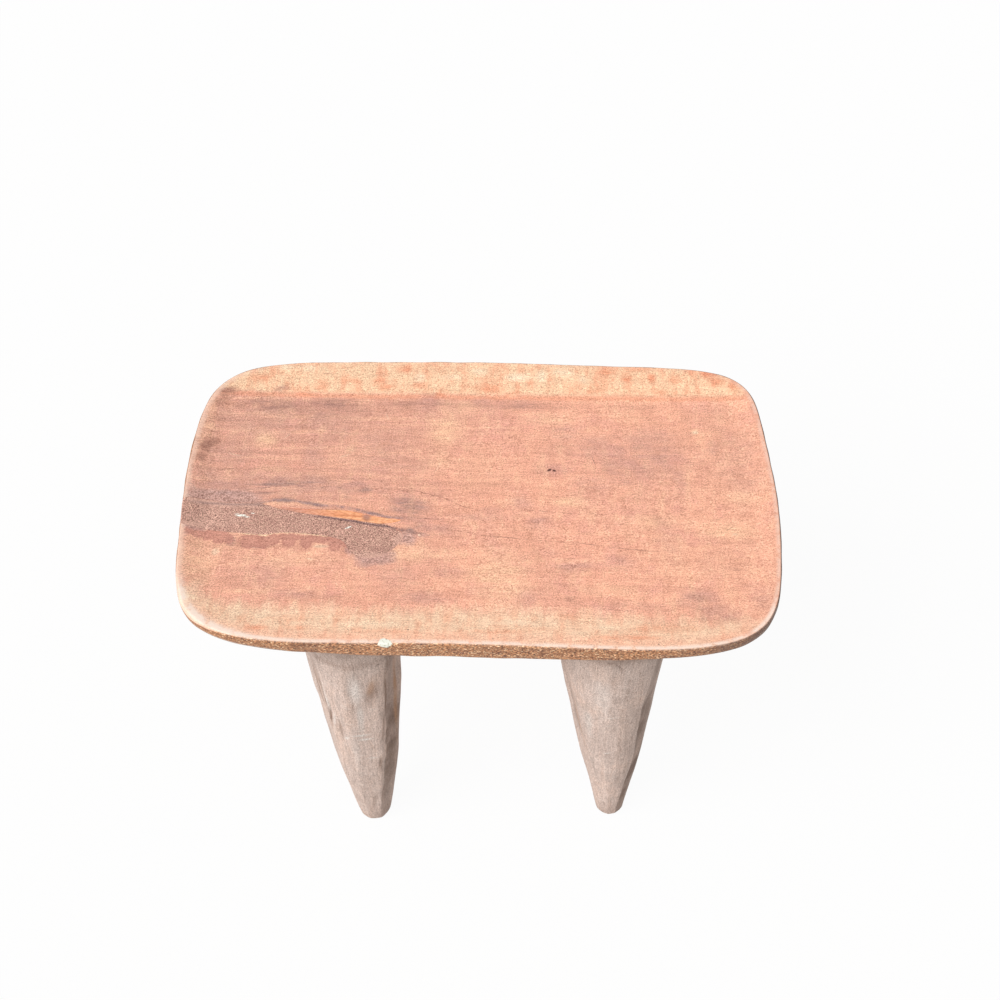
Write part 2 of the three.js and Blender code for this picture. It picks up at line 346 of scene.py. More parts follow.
class Recipe:
    """The node tree of a material or of the world, built one node at a time."""

    def __init__(self, owner: bpy.types.Material | bpy.types.World) -> None:
        """Empty the owner's tree.

        Args:
            owner: The material or the world.
        """
        self.owner = owner
        owner.use_nodes = True
        self.tree = owner.node_tree
        self.tree.nodes.clear()

    def add(
        self,
        kind: str,
        inputs: Mapping[Any, Any] | None = None,
        output: int | str = 0,
        **settings: Any,
    ) -> bpy.types.NodeSocket | None:
        """Add one node with its settings, values and links.

        Args:
            kind: The node's kind, without the words ShaderNode.
            inputs: Value or linked socket for each input, by its name or number.
            output: Name or number of the output to return.
            settings: The node's own settings.

        Returns:
            The output socket, or None for a node that has none.
        """
        made = self.tree.nodes.new("ShaderNode" + kind)
        for name, value in settings.items():
            setattr(made, name, value)
        for key, value in (inputs or {}).items():
            if isinstance(value, bpy.types.NodeSocket):
                self.tree.links.new(value, made.inputs[key])
            else:
                made.inputs[key].default_value = value
        return made.outputs[output] if made.outputs else None

    @cached_property
    def place(self) -> Any:
        """Socket of the place in metres."""
        return self.add("TexCoord", output="Object")

    @cached_property
    def flat(self) -> Any:
        """Socket of the place with its height taken out."""
        return self.add("VectorMath", {0: self.place, 1: (1.0, 1.0, 0.0)}, operation="MULTIPLY")

    @cached_property
    def along(self) -> Any:
        """Socket of x in metres."""
        return self.add("SeparateXYZ", {0: self.place}, "X")

    def swayed(self, scale: float, reach: Sequence[float]) -> Any:
        """Socket of the place, bent by up to a reach in metres by slow noise, as grain is."""
        sway = self.add("TexNoise", {"Vector": self.place, "Scale": scale, "Detail": 2.0}, 1)
        return self.add("VectorMath", {0: sway, 1: reach, 2: self.place}, operation="MULTIPLY_ADD")

    def patterns(self, place: Any, table: Mapping[str, Sequence[float]]) -> dict[str, Any]:
        """Add noises that are drawn out along the axes.

        Args:
            place: Socket of the place in metres.
            table: For each name, the features in a metre along X, Y and Z, the detail and the
                roughness. So 150 stands for features about 6 mm wide.

        Returns:
            The socket of each noise.
        """
        made = {}
        for name, (*scale, detail, roughness) in table.items():
            drawn_out = self.add("Mapping", {"Vector": place, "Scale": scale})
            look = {"Vector": drawn_out, "Scale": 1.0, "Detail": detail, "Roughness": roughness}
            made[name] = self.add("TexNoise", look)
        return made

    def layered(self, base: Any, layers: Sequence[tuple[Any, ...]]) -> Any:
        """Lay tints over a colour, one after the other.

        Args:
            base: The colour or socket at the bottom.
            layers: From the bottom up, a hex tint and the socket of its share. Where numbers
                follow, the share goes from 0 where the socket has the first to the third where it
                has the second, and it is multiplied by a last socket.

        Returns:
            The socket of the finished colour.
        """
        for tint, share, *span in layers:
            if span:
                share = self.add("MapRange", {0: share, 1: span[0], 2: span[1], 4: span[2]})
            for limit in span[3:]:
                share = self.add("Math", {0: share, 1: limit}, operation="MULTIPLY")
            base = self.add("Mix", {0: share, 6: base, 7: linear(tint)}, 2, data_type="RGBA")
        return base

    def shaded(self, colour: Any, shades: Sequence[tuple[Any, float, float]]) -> Any:
        """Scale a colour by one noise after the other.

        Args:
            colour: Socket of the colour.
            shades: For each noise its socket, the factor where it is low and the one where it is high.

        Returns:
            The socket of the shaded colour.
        """
        for noise, low, high in shades:
            shade = self.add("MapRange", {0: noise, 1: NOISE_LOW, 2: NOISE_HIGH, 3: low, 4: high})
            colour = self.add("VectorMath", {0: colour, "Scale": shade}, operation="SCALE")
        return colour

    def speckled(
        self,
        colour: Any,
        scale: Sequence[float],
        low: Sequence[float],
        high: Sequence[float],
        share: Any = 1.0,
        curl: float = 0.0,
    ) -> Any:
        """Multiply a colour by fine specks, about 1 mm wide, so that they show at this distance.

        Args:
            colour: Socket of the colour.
            scale: Specks in a metre along X, Y and Z.
            low: The factors for red, green and blue in the darkest specks.
            high: The factors in the palest specks.
            share: How much of the specks shows at each place.
            curl: How far the specks are drawn out into curls.

        Returns:
            The socket of the speckled colour.
        """
        where = self.add("Mapping", {"Vector": self.place, "Scale": scale})
        look = {"Vector": where, "Scale": 1.0, "Detail": 1.5, "Roughness": 0.6, "Distortion": curl}
        span = {6: self.add("TexNoise", look), 7: (NOISE_LOW,) * 3, 8: (NOISE_HIGH,) * 3, 9: low, 10: high}
        factors = self.add("MapRange", span, 1, data_type="FLOAT_VECTOR")
        shown = self.add("Mix", {0: share, 6: WHITE, 7: factors}, 2, data_type="RGBA")
        return self.add("VectorMath", {0: colour, 1: shown}, operation="MULTIPLY")

    def most(self, shares: Sequence[Any]) -> Any:
        """Find the largest of several shares at each place.

        Args:
            shares: Their sockets.

        Returns:
            The socket of the largest.
        """
        most = shares[0]
        for share in shares[1:]:
            most = self.add("Math", {0: most, 1: share}, operation="MAXIMUM")
        return most

    def seen_directly(self) -> Any:
        """1 for the camera's rays and for those in mirrors and glass, and 0 for light."""
        kinds = ("Camera", "Glossy", "Transmission")
        return self.most([self.add("LightPath", output=f"Is {kind} Ray") for kind in kinds])

    def finish(
        self,
        colour: Any,
        roughness: Any,
        relief: Any,
        strength: float,
        depth_mm: float,
        ior: float = 1.45,
    ) -> bpy.types.Material:
        """Join the colour, the sheen and a relief to the output.

        Args:
            colour: Socket of the finished colour.
            roughness: Value or socket of the roughness.
            relief: Socket of the height of the relief.
            strength: How much of the relief shows.
            depth_mm: How deep it is.
            ior: The index of refraction.

        Returns:
            The finished material.
        """
        bump = {"Strength": strength, "Distance": depth_mm * MM, "Height": relief}
        look = {"Base Color": colour, "Roughness": roughness, "IOR": ior}
        look["Normal"] = self.add("Bump", bump)
        self.add("OutputMaterial", {"Surface": self.add("BsdfPrincipled", look)})
        return self.owner


@dataclass(frozen=True)
class Mark:
    """One stain, scratch or crack: a soft-edged ellipse on the seat seen from above.

    Attributes:
        x_mm: Its middle along the seat.
        y_mm: Its middle across the seat.
        length_mm: Its length.
        width_mm: Its width.
        turn_deg: How far its length is turned from the grain.
        strength: How much of its tint shows in its middle.
        softness: The share of its radius over which it fades.
    """

    x_mm: float
    y_mm: float
    length_mm: float
    width_mm: float
    turn_deg: float = 0.0
    strength: float = 1.0
    softness: float = 0.8

    def reach(self, places: np.ndarray) -> np.ndarray:
        """How far out in the ellipse each place is: 0 in its middle and 1 at its edge.

        Args:
            places: One row per place that starts with x and y, in metres.

        Returns:
            One value per place.
        """
        aside, ahead = places[:, 0] / MM - self.x_mm, places[:, 1] / MM - self.y_mm
        cosine, sine = math.cos(math.radians(self.turn_deg)), math.sin(math.radians(self.turn_deg))
        along = (aside * cosine + ahead * sine) / (self.length_mm / 2)
        across = (ahead * cosine - aside * sine) / (self.width_mm / 2)
        return np.hypot(along, across)

    def share(self, recipe: Recipe) -> Any:
        """Add the nodes that draw the mark.

        Args:
            recipe: The material that shows the mark.

        Returns:
            The socket of the share: the mark's strength in its middle, and 0 outside it.
        """
        ellipse = {
            "Vector": recipe.flat,
            "Location": (self.x_mm * MM, self.y_mm * MM, 0.0),
            "Rotation": (0.0, 0.0, math.radians(self.turn_deg)),
            "Scale": (self.length_mm * MM / 2, self.width_mm * MM / 2, 1.0),
        }
        own = recipe.add("Mapping", ellipse, vector_type="TEXTURE")
        reach = recipe.add("VectorMath", {0: own}, "Value", operation="LENGTH")
        fade = {0: reach, 1: 1.0, 2: 1.0 - self.softness, 4: self.strength}
        return recipe.add("MapRange", fade, interpolation_type="SMOOTHSTEP")


def marks_of(*rows: tuple[float, ...]) -> tuple[Mark, ...]:
    """Marks from rows of their numbers, in the order of Mark's fields."""
    return tuple(Mark(*row) for row in rows)


def soft_stain(places: np.ndarray, marks: Sequence[Mark]) -> np.ndarray:
    """Share of a cloudy stain at each place: the strongest mark there, faded towards its edge."""
    faded = [m.strength * (1.0 - ease(m.reach(places), 1.0 - m.softness, STAIN_REACH)) for m in marks]
    return np.max([np.zeros(len(places)), *faded], axis=0)


def crisp_stain(places: np.ndarray, marks: Sequence[Mark]) -> np.ndarray:
    """Millimetres from each place to the clear border of a stain, negative inside it."""
    gaps = [(m.reach(places) - 1.0) * min(m.length_mm, m.width_mm) / 2 for m in marks]
    return np.min(gaps, axis=0)


def stain_colours(places: np.ndarray, stains: Sequence[tuple[str, Sequence[Mark]]]) -> np.ndarray:
    """Colour and cover of soft stains laid over each other, one row of linear RGBA per place.

    Args:
        places: One row of x, y and z per place, in metres.
        stains: A hex tint and its marks, from the bottom up.

    Returns:
        The mixed tint, and the share of it that shows.
    """
    laid = np.zeros((len(places), 4))
    for tint, marks in stains:
        share = soft_stain(places, marks)[:, None]
        laid = laid * (1.0 - share) + np.array(linear(tint)) * share
    cover = laid[:, 3:]
    ground = np.array(linear(stains[0][0]))[:3]
    return np.hstack([np.where(cover > 0.01, laid[:, :3] / np.maximum(cover, 0.01), ground), cover])


@dataclass(frozen=True)
class Line:
    """A thin crack or ridge that follows the grain, drawn as the zero of a field on the mesh.

    Attributes:
        field_name: The field that holds the distance across the line, in millimetres.
        points_mm: Places that the line goes through.
        width_mm: How wide it is at its middle.
        strength: How much of its tint shows.
        tint: Its colour.
    """

    field_name: str
    points_mm: tuple[tuple[float, float], ...]
    width_mm: float
    strength: float
    tint: str

    def store(self, piece: bpy.types.Object) -> None:
        """Store the distance across the line: y less the height of straight runs between points."""
        places = vertex_places(piece) / MM
        store(piece, self.field_name, places[:, 1] - np.interp(places[:, 0], *np.array(self.points_mm).T))

    def layer(self, recipe: Recipe, wander: Any = 0.0, breaks: Any = 1.0) -> tuple[str, Any]:
        """Add the nodes that give the line's share at each place.

        Args:
            recipe: The material that shows the line.
            wander: Socket of a small sideways wander, in millimetres.
            breaks: Socket of the share that is left where the line fades, from 0 to 1.

        Returns:
            The line's tint and the socket of its share.
        """
        offset = recipe.add("Attribute", output="Fac", attribute_name=self.field_name)
        drawn = recipe.add("Math", {0: offset, 1: wander}, operation="ADD")
        aside = recipe.add("Math", {0: drawn}, operation="ABSOLUTE")
        ink = {0: aside, 1: self.width_mm / 2, 2: 0.0, 4: self.strength}
        share = recipe.add("MapRange", ink, interpolation_type="SMOOTHSTEP")
        start, end = self.points_mm[0][0] * MM, self.points_mm[-1][0] * MM
        entry = recipe.add("MapRange", {0: recipe.along, 1: start - LINE_FADE, 2: start + LINE_FADE})
        leave = recipe.add("MapRange", {0: recipe.along, 1: end + LINE_FADE, 2: end - LINE_FADE})
        for limit in (entry, leave, breaks):
            share = recipe.add("Math", {0: share, 1: limit}, operation="MULTIPLY")
        return self.tint, share


SEAT_LINES = (
    # A pale line along the crack's lower edge: a painted highlight on a low ridge.
    Line(
        "crack_ridge_highlight",
        (
            (-207, -40.6), (-194, -42.0), (-182, -42.6), (-174, -40.2), (-160, -39.6),
            (-148, -40.8), (-137, -42.0), (-125, -43.4), (-117, -45.5), (-112, -50),
        ),
        3.0, 1.0, "#F9D0AC",
    ),
    Line(
        "upper_dark_line",
        (
            (-190, -8), (-179, -4.2), (-165, -3.4), (-150, -7), (-135, -9.6), (-118, -10.8),
            (-104, -13.6), (-97, -16.6), (-88, -18.8), (-76, -21.4), (-64, -22),
        ),
        5.2, 0.85, "#9C7C7C",
    ),
    Line(
        "lower_dark_crack",
        ((-120, -25.4), (-106, -27.6), (-95, -29.4), (-85, -31), (-74, -32.4), (-62, -35.4), (-50, -38.6)),
        5.4, 0.9, "#86645F",
    ),
    Line(
        "hair_crack",
        ((-100, 9.5), (-82, 9.8), (-53, 7.9), (-31, 0.9), (-14, -8.4), (2, -13)),
        1.7, 0.8, "#A06A58",
    ),
    Line(
        "right_hair_crack",
        ((28, -5.6), (43, -10.9), (87, -15.1), (122, -15.0)),
        1.6, 0.6, "#B07A68",
    ),
    Line(
        "grain_line",
        ((-206, 7.0), (-182, 11.6), (-161, 13.0), (-140, 11.3), (-116, 11.7)),
        2.2, 0.7, "#A47A70",
    ),
    Line(
        "low_grain_line",
        ((-58, -30), (-30, -33), (10, -41), (44, -43.5), (82, -46), (111, -51), (155, -55)),
        1.5, 0.55, "#B88470",
    ),
)

CRACK_LINES = (
    Line(
        "upper_crack",
        ((-112, -12.0), (-103, -14.4), (-96, -17.6), (-88, -19.0), (-76, -21.6), (-64, -22.4)),
        4.0, 1.0, "#8D6A64",
    ),
    Line(
        "lower_crack",
        ((-142, -21), (-122, -24.2), (-110, -26), (-100, -28), (-90, -30), (-80, -31), (-62, -34.5)),
        4.2, 0.9, "#7C5B58",
    ),
    Line(
        "left_crack",
        ((-250, -9.5), (-232, -8.6), (-214, -9.6), (-200, -9.0), (-186, -10.0)),
        5.0, 0.6, "#8F716C",
    ),
)

BROWN_BLOTCHES = marks_of(
    (-102, 7.5, 16, 8, -8, 0.45), (-115.4, 0.3, 8, 4, 0, 0.5), (-60, -8, 26, 15, -15, 0.35),
    (-248, 52, 30, 11, 80, 0.95, 0.35), (-241, 62, 13, 10, 40, 0.9, 0.5), (-238, 108, 22, 14, 0, 0.75),
    (-146, 144, 9, 3, 0, 0.8), (-236, 121, 22, 24, 10, 0.75), (-222, 107, 34, 8, 0, 0.6),
    (155, -21, 16, 12, 0, 0.25), (191, -104, 22, 12, -20, 0.3),
    (80, -106, 9, 7, -30, 0.6), (221, -73, 8, 6, 0, 0.5),
    (-139, -103.5, 24, 4, 0, 0.5), (-116, -105.5, 20, 4, 0, 0.4), (-226, -86, 10, 9, 0, 0.4),
    (-162, 81.6, 12, 7, 30, 0.4),
)
CREASE_DIRT = marks_of(
    (-195, 108, 84, 17, 0, 0.8), (-206, 112, 60, 9, 0, 0.5), (-138, 110.5, 66, 14, 0, 0.7),
    (-60, 110.5, 100, 9, 0, 0.4), (35, 109, 110, 9, 0, 0.4), (130, 109, 80, 8, 0, 0.2),
    (-187, 126, 18, 9, 8, 0.7), (-150, 100, 130, 18, 0, 0.35),
)
PURPLE_CLOUDS = marks_of(
    (-135, 85, 61, 67, 0, 0.31), (-94, 58, 67, 77, 0, 0.31), (-148, 48, 26, 45, 0, 0.34),
    (-150, 86, 16, 45, 0, 0.37), (-222, 48, 52, 32, 0, 0.31), (-228, 90, 41, 38, 0, 0.28),
    (-78, 36, 78, 26, 0, 0.25), (-178, 80, 23, 38, 0, 0.28), (-242, 18, 35, 22, 0, 0.37),
    (-165, 18, 160, 22, -2, 0.46), (-105, 16, 58, 19, 0, 0.43), (-60, -6, 49, 42, -10, 0.43),
    (-70, 6, 87, 19, -8, 0.31), (74, 78, 35, 26, 0, 0.34), (90, 68, 26, 26, 0, 0.25),
    (120, 38, 38, 48, 0, 0.31), (128, 26, 20, 22, 0, 0.37), (172, 52, 29, 22, 0, 0.37),
    (175, 28, 17, 42, 12, 0.34), (150, 70, 70, 35, 0, 0.28), (206, 62, 13, 22, 0, 0.31),
    (36, -5, 26, 24, 0, 0.37), (52, -23, 29, 21, 0, 0.4), (12, -15, 26, 16, 0, 0.31),
    (-10, -21, 130, 10, 2, 0.31), (84, -72, 49, 14, 4, 0.37), (122, -67, 38, 21, 0, 0.28),
    (165, -42, 26, 64, 10, 0.22), (-45, -107, 67, 18, 0, 0.34), (-150, -104, 67, 13, 0, 0.37),
    (-175, -88, 41, 35, 0, 0.28), (45, -104, 20, 16, 0, 0.31), (188, -105, 46, 27, -12, 0.43),
    (202, -118, 49, 24, 0, 0.31), (240, -104, 23, 29, 0, 0.31), (-70, -86, 67, 42, 0, 0.25),
    (-22, -80, 35, 18, 0, 0.34), (98, 18, 41, 42, -30, 0.25), (30, 112, 44, 13, 0, 0.25),
    (-3, 114, 20, 13, 0, 0.31), (-50, 112, 26, 29, 0, 0.31), (-55, -22, 44, 22, -8, 0.37),
    (-38, -34, 49, 19, 0, 0.37), (-205, 7, 145, 19, 2, 0.37), (-145, 2, 130, 13, -3, 0.28),
    (130, -113, 72, 16, 0, 0.22), (232, 45, 44, 112, 0, 0.22), (62, 34, 49, 16, 5, 0.25),
    (-222, 14, 90, 40, 0, 0.45), (-150, 12, 160, 30, -3, 0.4), (140, 50, 110, 60, 0, 0.4),
    (100, 60, 60, 40, 0, 0.3), (-90, 40, 90, 60, 0, 0.25), (-200, 90, 90, 60, 0, 0.3),
)
PALE_CLOUDS = marks_of(
    (22, -86, 62, 66, 0, 0.7), (215, -32, 58, 26, 0, 0.6), (232, 4, 46, 22, 0, 0.5),
    (80, -2, 36, 13, 0, 0.8), (-25, 108, 52, 20, 0, 0.4), (-34, 80, 34, 50, 0, 0.75),
    (-38, 46, 26, 30, 0, 0.4), (56, 95, 48, 20, 0, 0.6), (-195, 66, 28, 22, 0, 0.8),
    (-118, 54, 10, 28, -28, 0.7), (190.5, 81, 7, 8, 0, 1.0), (-160, -68, 90, 16, 0, 0.4),
    (150, -22, 70, 22, 0, 0.4), (-185, 32, 34, 10, 0, 0.4), (-248, 86, 14, 60, 0, 0.4),
    (-58, -60, 46, 26, 0, 0.6), (-26, -62, 44, 16, 0, 0.5), (110, -95, 60, 16, 0, 0.3),
    (-238, -78, 44, 64, 0, 0.4), (-12, 62, 30, 12, 0, 0.3),
)
RED_DABS = marks_of(
    (-150, 132, 16, 20, 0, 0.55), (-165, 121, 20, 8, 0, 0.5), (-125, 136, 24, 9, 0, 0.5),
    (-98, 137, 14, 12, 0, 0.7), (-90, 130, 24, 10, 0, 0.6), (-75, 150, 20, 12, 0, 0.7),
    (-205, 138, 20, 12, 0, 0.5), (-40, 122, 14, 8, 0, 0.6), (-60, 132, 16, 8, 0, 0.5),
    (5, 130, 40, 12, 0, 0.5), (30, 124, 30, 6, 0, 0.5), (100, 130, 12, 12, 0, 0.7),
    (112, 150, 20, 12, 0, 0.8), (130, 143, 14, 18, 0, 0.8), (153, 143, 9, 18, 0, 0.8),
    (175, 140, 14, 12, 0, 0.8), (163, 126, 20, 8, 0, 0.6), (205, 148, 22, 12, 0, 0.9),
    (210, 138, 26, 12, 0, 0.8), (228, 132, 14, 22, 0, 0.8), (190, 150, 14, 10, 0, 0.7),
    (142, 152, 40, 10, 0, 0.5), (-142, -141, 30, 7, 0, 0.5), (-178, -142, 24, 7, 0, 0.6),
    (22, -142, 60, 6, 0, 0.55), (130, -146, 60, 6, 0, 0.6), (84, -124, 26, 8, 0, 0.4),
    (-70, -144, 60, 6, 0, 0.35), (205, -146, 30, 8, 12, 0.4), (155, -136, 70, 14, 0, 0.4),
    (90, -132, 26, 16, 0, 0.35), (20, -128, 14, 18, 0, 0.35), (-20, -130, 12, 20, 0, 0.3),
    (-110, -128, 12, 20, 0, 0.35), (-150, -130, 40, 10, 0, 0.3), (60, -140, 30, 8, 0, 0.35),
)
CREAM_DABS = marks_of(
    (-165, 150, 26, 10, 0, 0.7), (-185, 150, 20, 8, 0, 0.7), (-60, 140, 12, 14, 0, 0.7),
    (-5, 148, 20, 12, 0, 0.6), (30, 142, 30, 12, 0, 0.8), (52, 143, 10, 18, 0, 0.9),
    (73, 148, 24, 14, 0, 0.7), (90, 140, 10, 12, 0, 0.7), (-30, 141, 30, 8, 0, 0.5),
    (-180, -126, 46, 10, 0, 0.5), (-80, -136, 70, 8, 0, 0.5), (30, -132, 70, 8, 0, 0.4),
    (110, -135, 44, 7, 0, 0.35), (-240, -112, 20, 40, -25, 0.6),
)
GREY_SMUDGES = marks_of(
    (-170, -4, 28, 7, -2, 0.95), (-146, -7.5, 30, 6, -10, 0.7), (-196, -9, 22, 9, 10, 0.9),
    (-100, 8.6, 15, 7, 0, 0.6), (-115.5, 0.5, 9, 5, 0, 0.7), (-60, -8, 36, 22, -10, 0.5),
    (-56, -14, 16, 7, 0, 0.8), (-58, -36, 18, 8, -12, 0.95), (-211, -50, 10, 13, 20, 0.95),
    (-190, -56, 26, 3, 0, 0.6), (-92, -17, 20, 4, -14, 0.9), (-178, 14, 60, 4, 3, 0.6),
    (-160, 17, 50, 3, -2, 0.6), (-96, -72, 18, 8, 0, 0.5), (-45, -31, 24, 7, 0, 0.5),
    (-225, 3, 34, 5, 0, 0.6), (-196, 3, 40, 4, 0, 0.6), (-66, -14, 22, 5, -10, 0.6),
)
SEAT_STAINS = (
    ("#FFC9A4", PALE_CLOUDS), ("#BC8D84", PURPLE_CLOUDS), ("#B08072", CREASE_DIRT),
    ("#EC9874", RED_DABS), ("#FFE2C2", CREAM_DABS), ("#B27E6B", BROWN_BLOTCHES),
    ("#A08078", GREY_SMUDGES),
)
RED_SMEARS = marks_of(
    (-240, -43, 22, 11, -12, 0.6), (-222, -45, 26, 14, -22, 0.85), (-188, -49.5, 36, 14, -2, 0.9),
    (-197, -52, 16, 10, 0, 0.9), (-161, -49, 10, 15, 0, 0.9), (-147, -50, 11, 15, 0, 0.85),
    (-135, -47, 36, 8, -5, 0.8), (-120, -52, 14, 13, -36, 0.8), (-176, -48, 16, 12, 0, 0.8),
    (-168, -45, 14, 5, 0, 0.8), (-154, -45, 12, 5, 0, 0.8), (-110, -56, 8, 10, 0, 0.5),
)
PASTE_DUST = marks_of(
    (-226, -2, 90, 22, 0, 1.0, 0.6), (-252, 0, 20, 26, 0, 0.7), (-60, -44, 26, 22, -20, 0.9),
    (-86, -64, 46, 24, 0, 0.95, 0.6), (-246, -37, 34, 10, -4, 0.8), (-106, -58, 16, 16, -40, 0.8),
    (-48, -40, 24, 8, 0, 0.6), (-94, -72, 24, 14, 0, 0.6),
)
THIN_PASTE = marks_of(
    (-238, -6, 60, 16, 0, 1.0), (-204, -10, 44, 9, 0, 0.8), (-232, -26, 84, 40, 0, 0.5),
    (-222, -6, 90, 18, -2, 1.1),
    (-62, -44, 22, 30, -20, 0.9), (-86, -66, 56, 18, 0, 0.9), (-246, -34, 40, 10, 0, 0.9),
)
DARK_SPECKS = marks_of(
    (-52, -141.6, 2.4, 2.2, 0, 0.9), (153, -153, 2.4, 2.4, 0, 0.8), (18, -150, 2.6, 1.6, 0, 0.7),
    (100, 45, 15, 1.3, -73, 0.6), (161.5, -75, 19, 1.0, 73, 0.4), (210, -17, 18, 1.0, 38, 0.4),
    (216, -29.5, 12, 1.2, 32, 0.5), (26, -42, 34, 1.6, -5, 0.6), (97, -48, 30, 1.4, -8, 0.55),
    (133, -53, 44, 1.2, -6, 0.5), (-187, 4, 40, 1.6, 5, 0.6), (-40, -23, 40, 1.4, -3, 0.5),
)
KNOT = marks_of((61.0, 34.0, 6.0, 3.4, 38, 1.0, 0.6), (65.4, 33.4, 5.0, 3.0, -32, 1.0, 0.6))
PALE_SCRATCHES = marks_of(
    (-87, 95, 13, 1.2, -68, 0.5), (-122, 47.5, 16, 1.6, 24, 0.5), (-176, 70, 14, 1.4, 51, 0.4),
    (-221, 47.6, 18, 1.6, -15, 0.45), (-141, -68, 9, 1.3, -16, 0.8), (-223, -62, 11, 9, 70, 0.55),
    (191, 80, 8, 6, 0, 0.6), (-133, -54.5, 19, 5, 0, 0.45), (-49.6, -40.4, 3, 2, 0, 0.9),
    (221, -35, 8, 4, 0, 0.4), (-38, 35, 22, 1.3, 70, 0.3), (-70, -25, 8, 2, -10, 0.7),
)
FRONT_BORDER_MM = (
    (-262, -104), (-225, -112), (-175, -117), (-85, -120), (35, -117), (130, -123), (200, -129),
    (262, -124),
)
WHITE_FLECKS = marks_of(
    (-206, -21.5, 12, 3, 3, 1.0, 0.6), (-111.4, -33.4, 8.5, 2.2, 27, 1.0, 0.6), (-196, -19, 5, 2, 0, 0.7),
    (-201, -23, 9, 2, -4, 0.8), (-210, -20, 6, 2, 10, 0.7),
)
# The field of the painted shade on the leg flats that face away from the light.
PAINTED_SHADE_FIELD = "leg_painted_shade"
LEG_FIELDS = ("leg_brown", "leg_chalk", "leg_orange", "leg_ink")


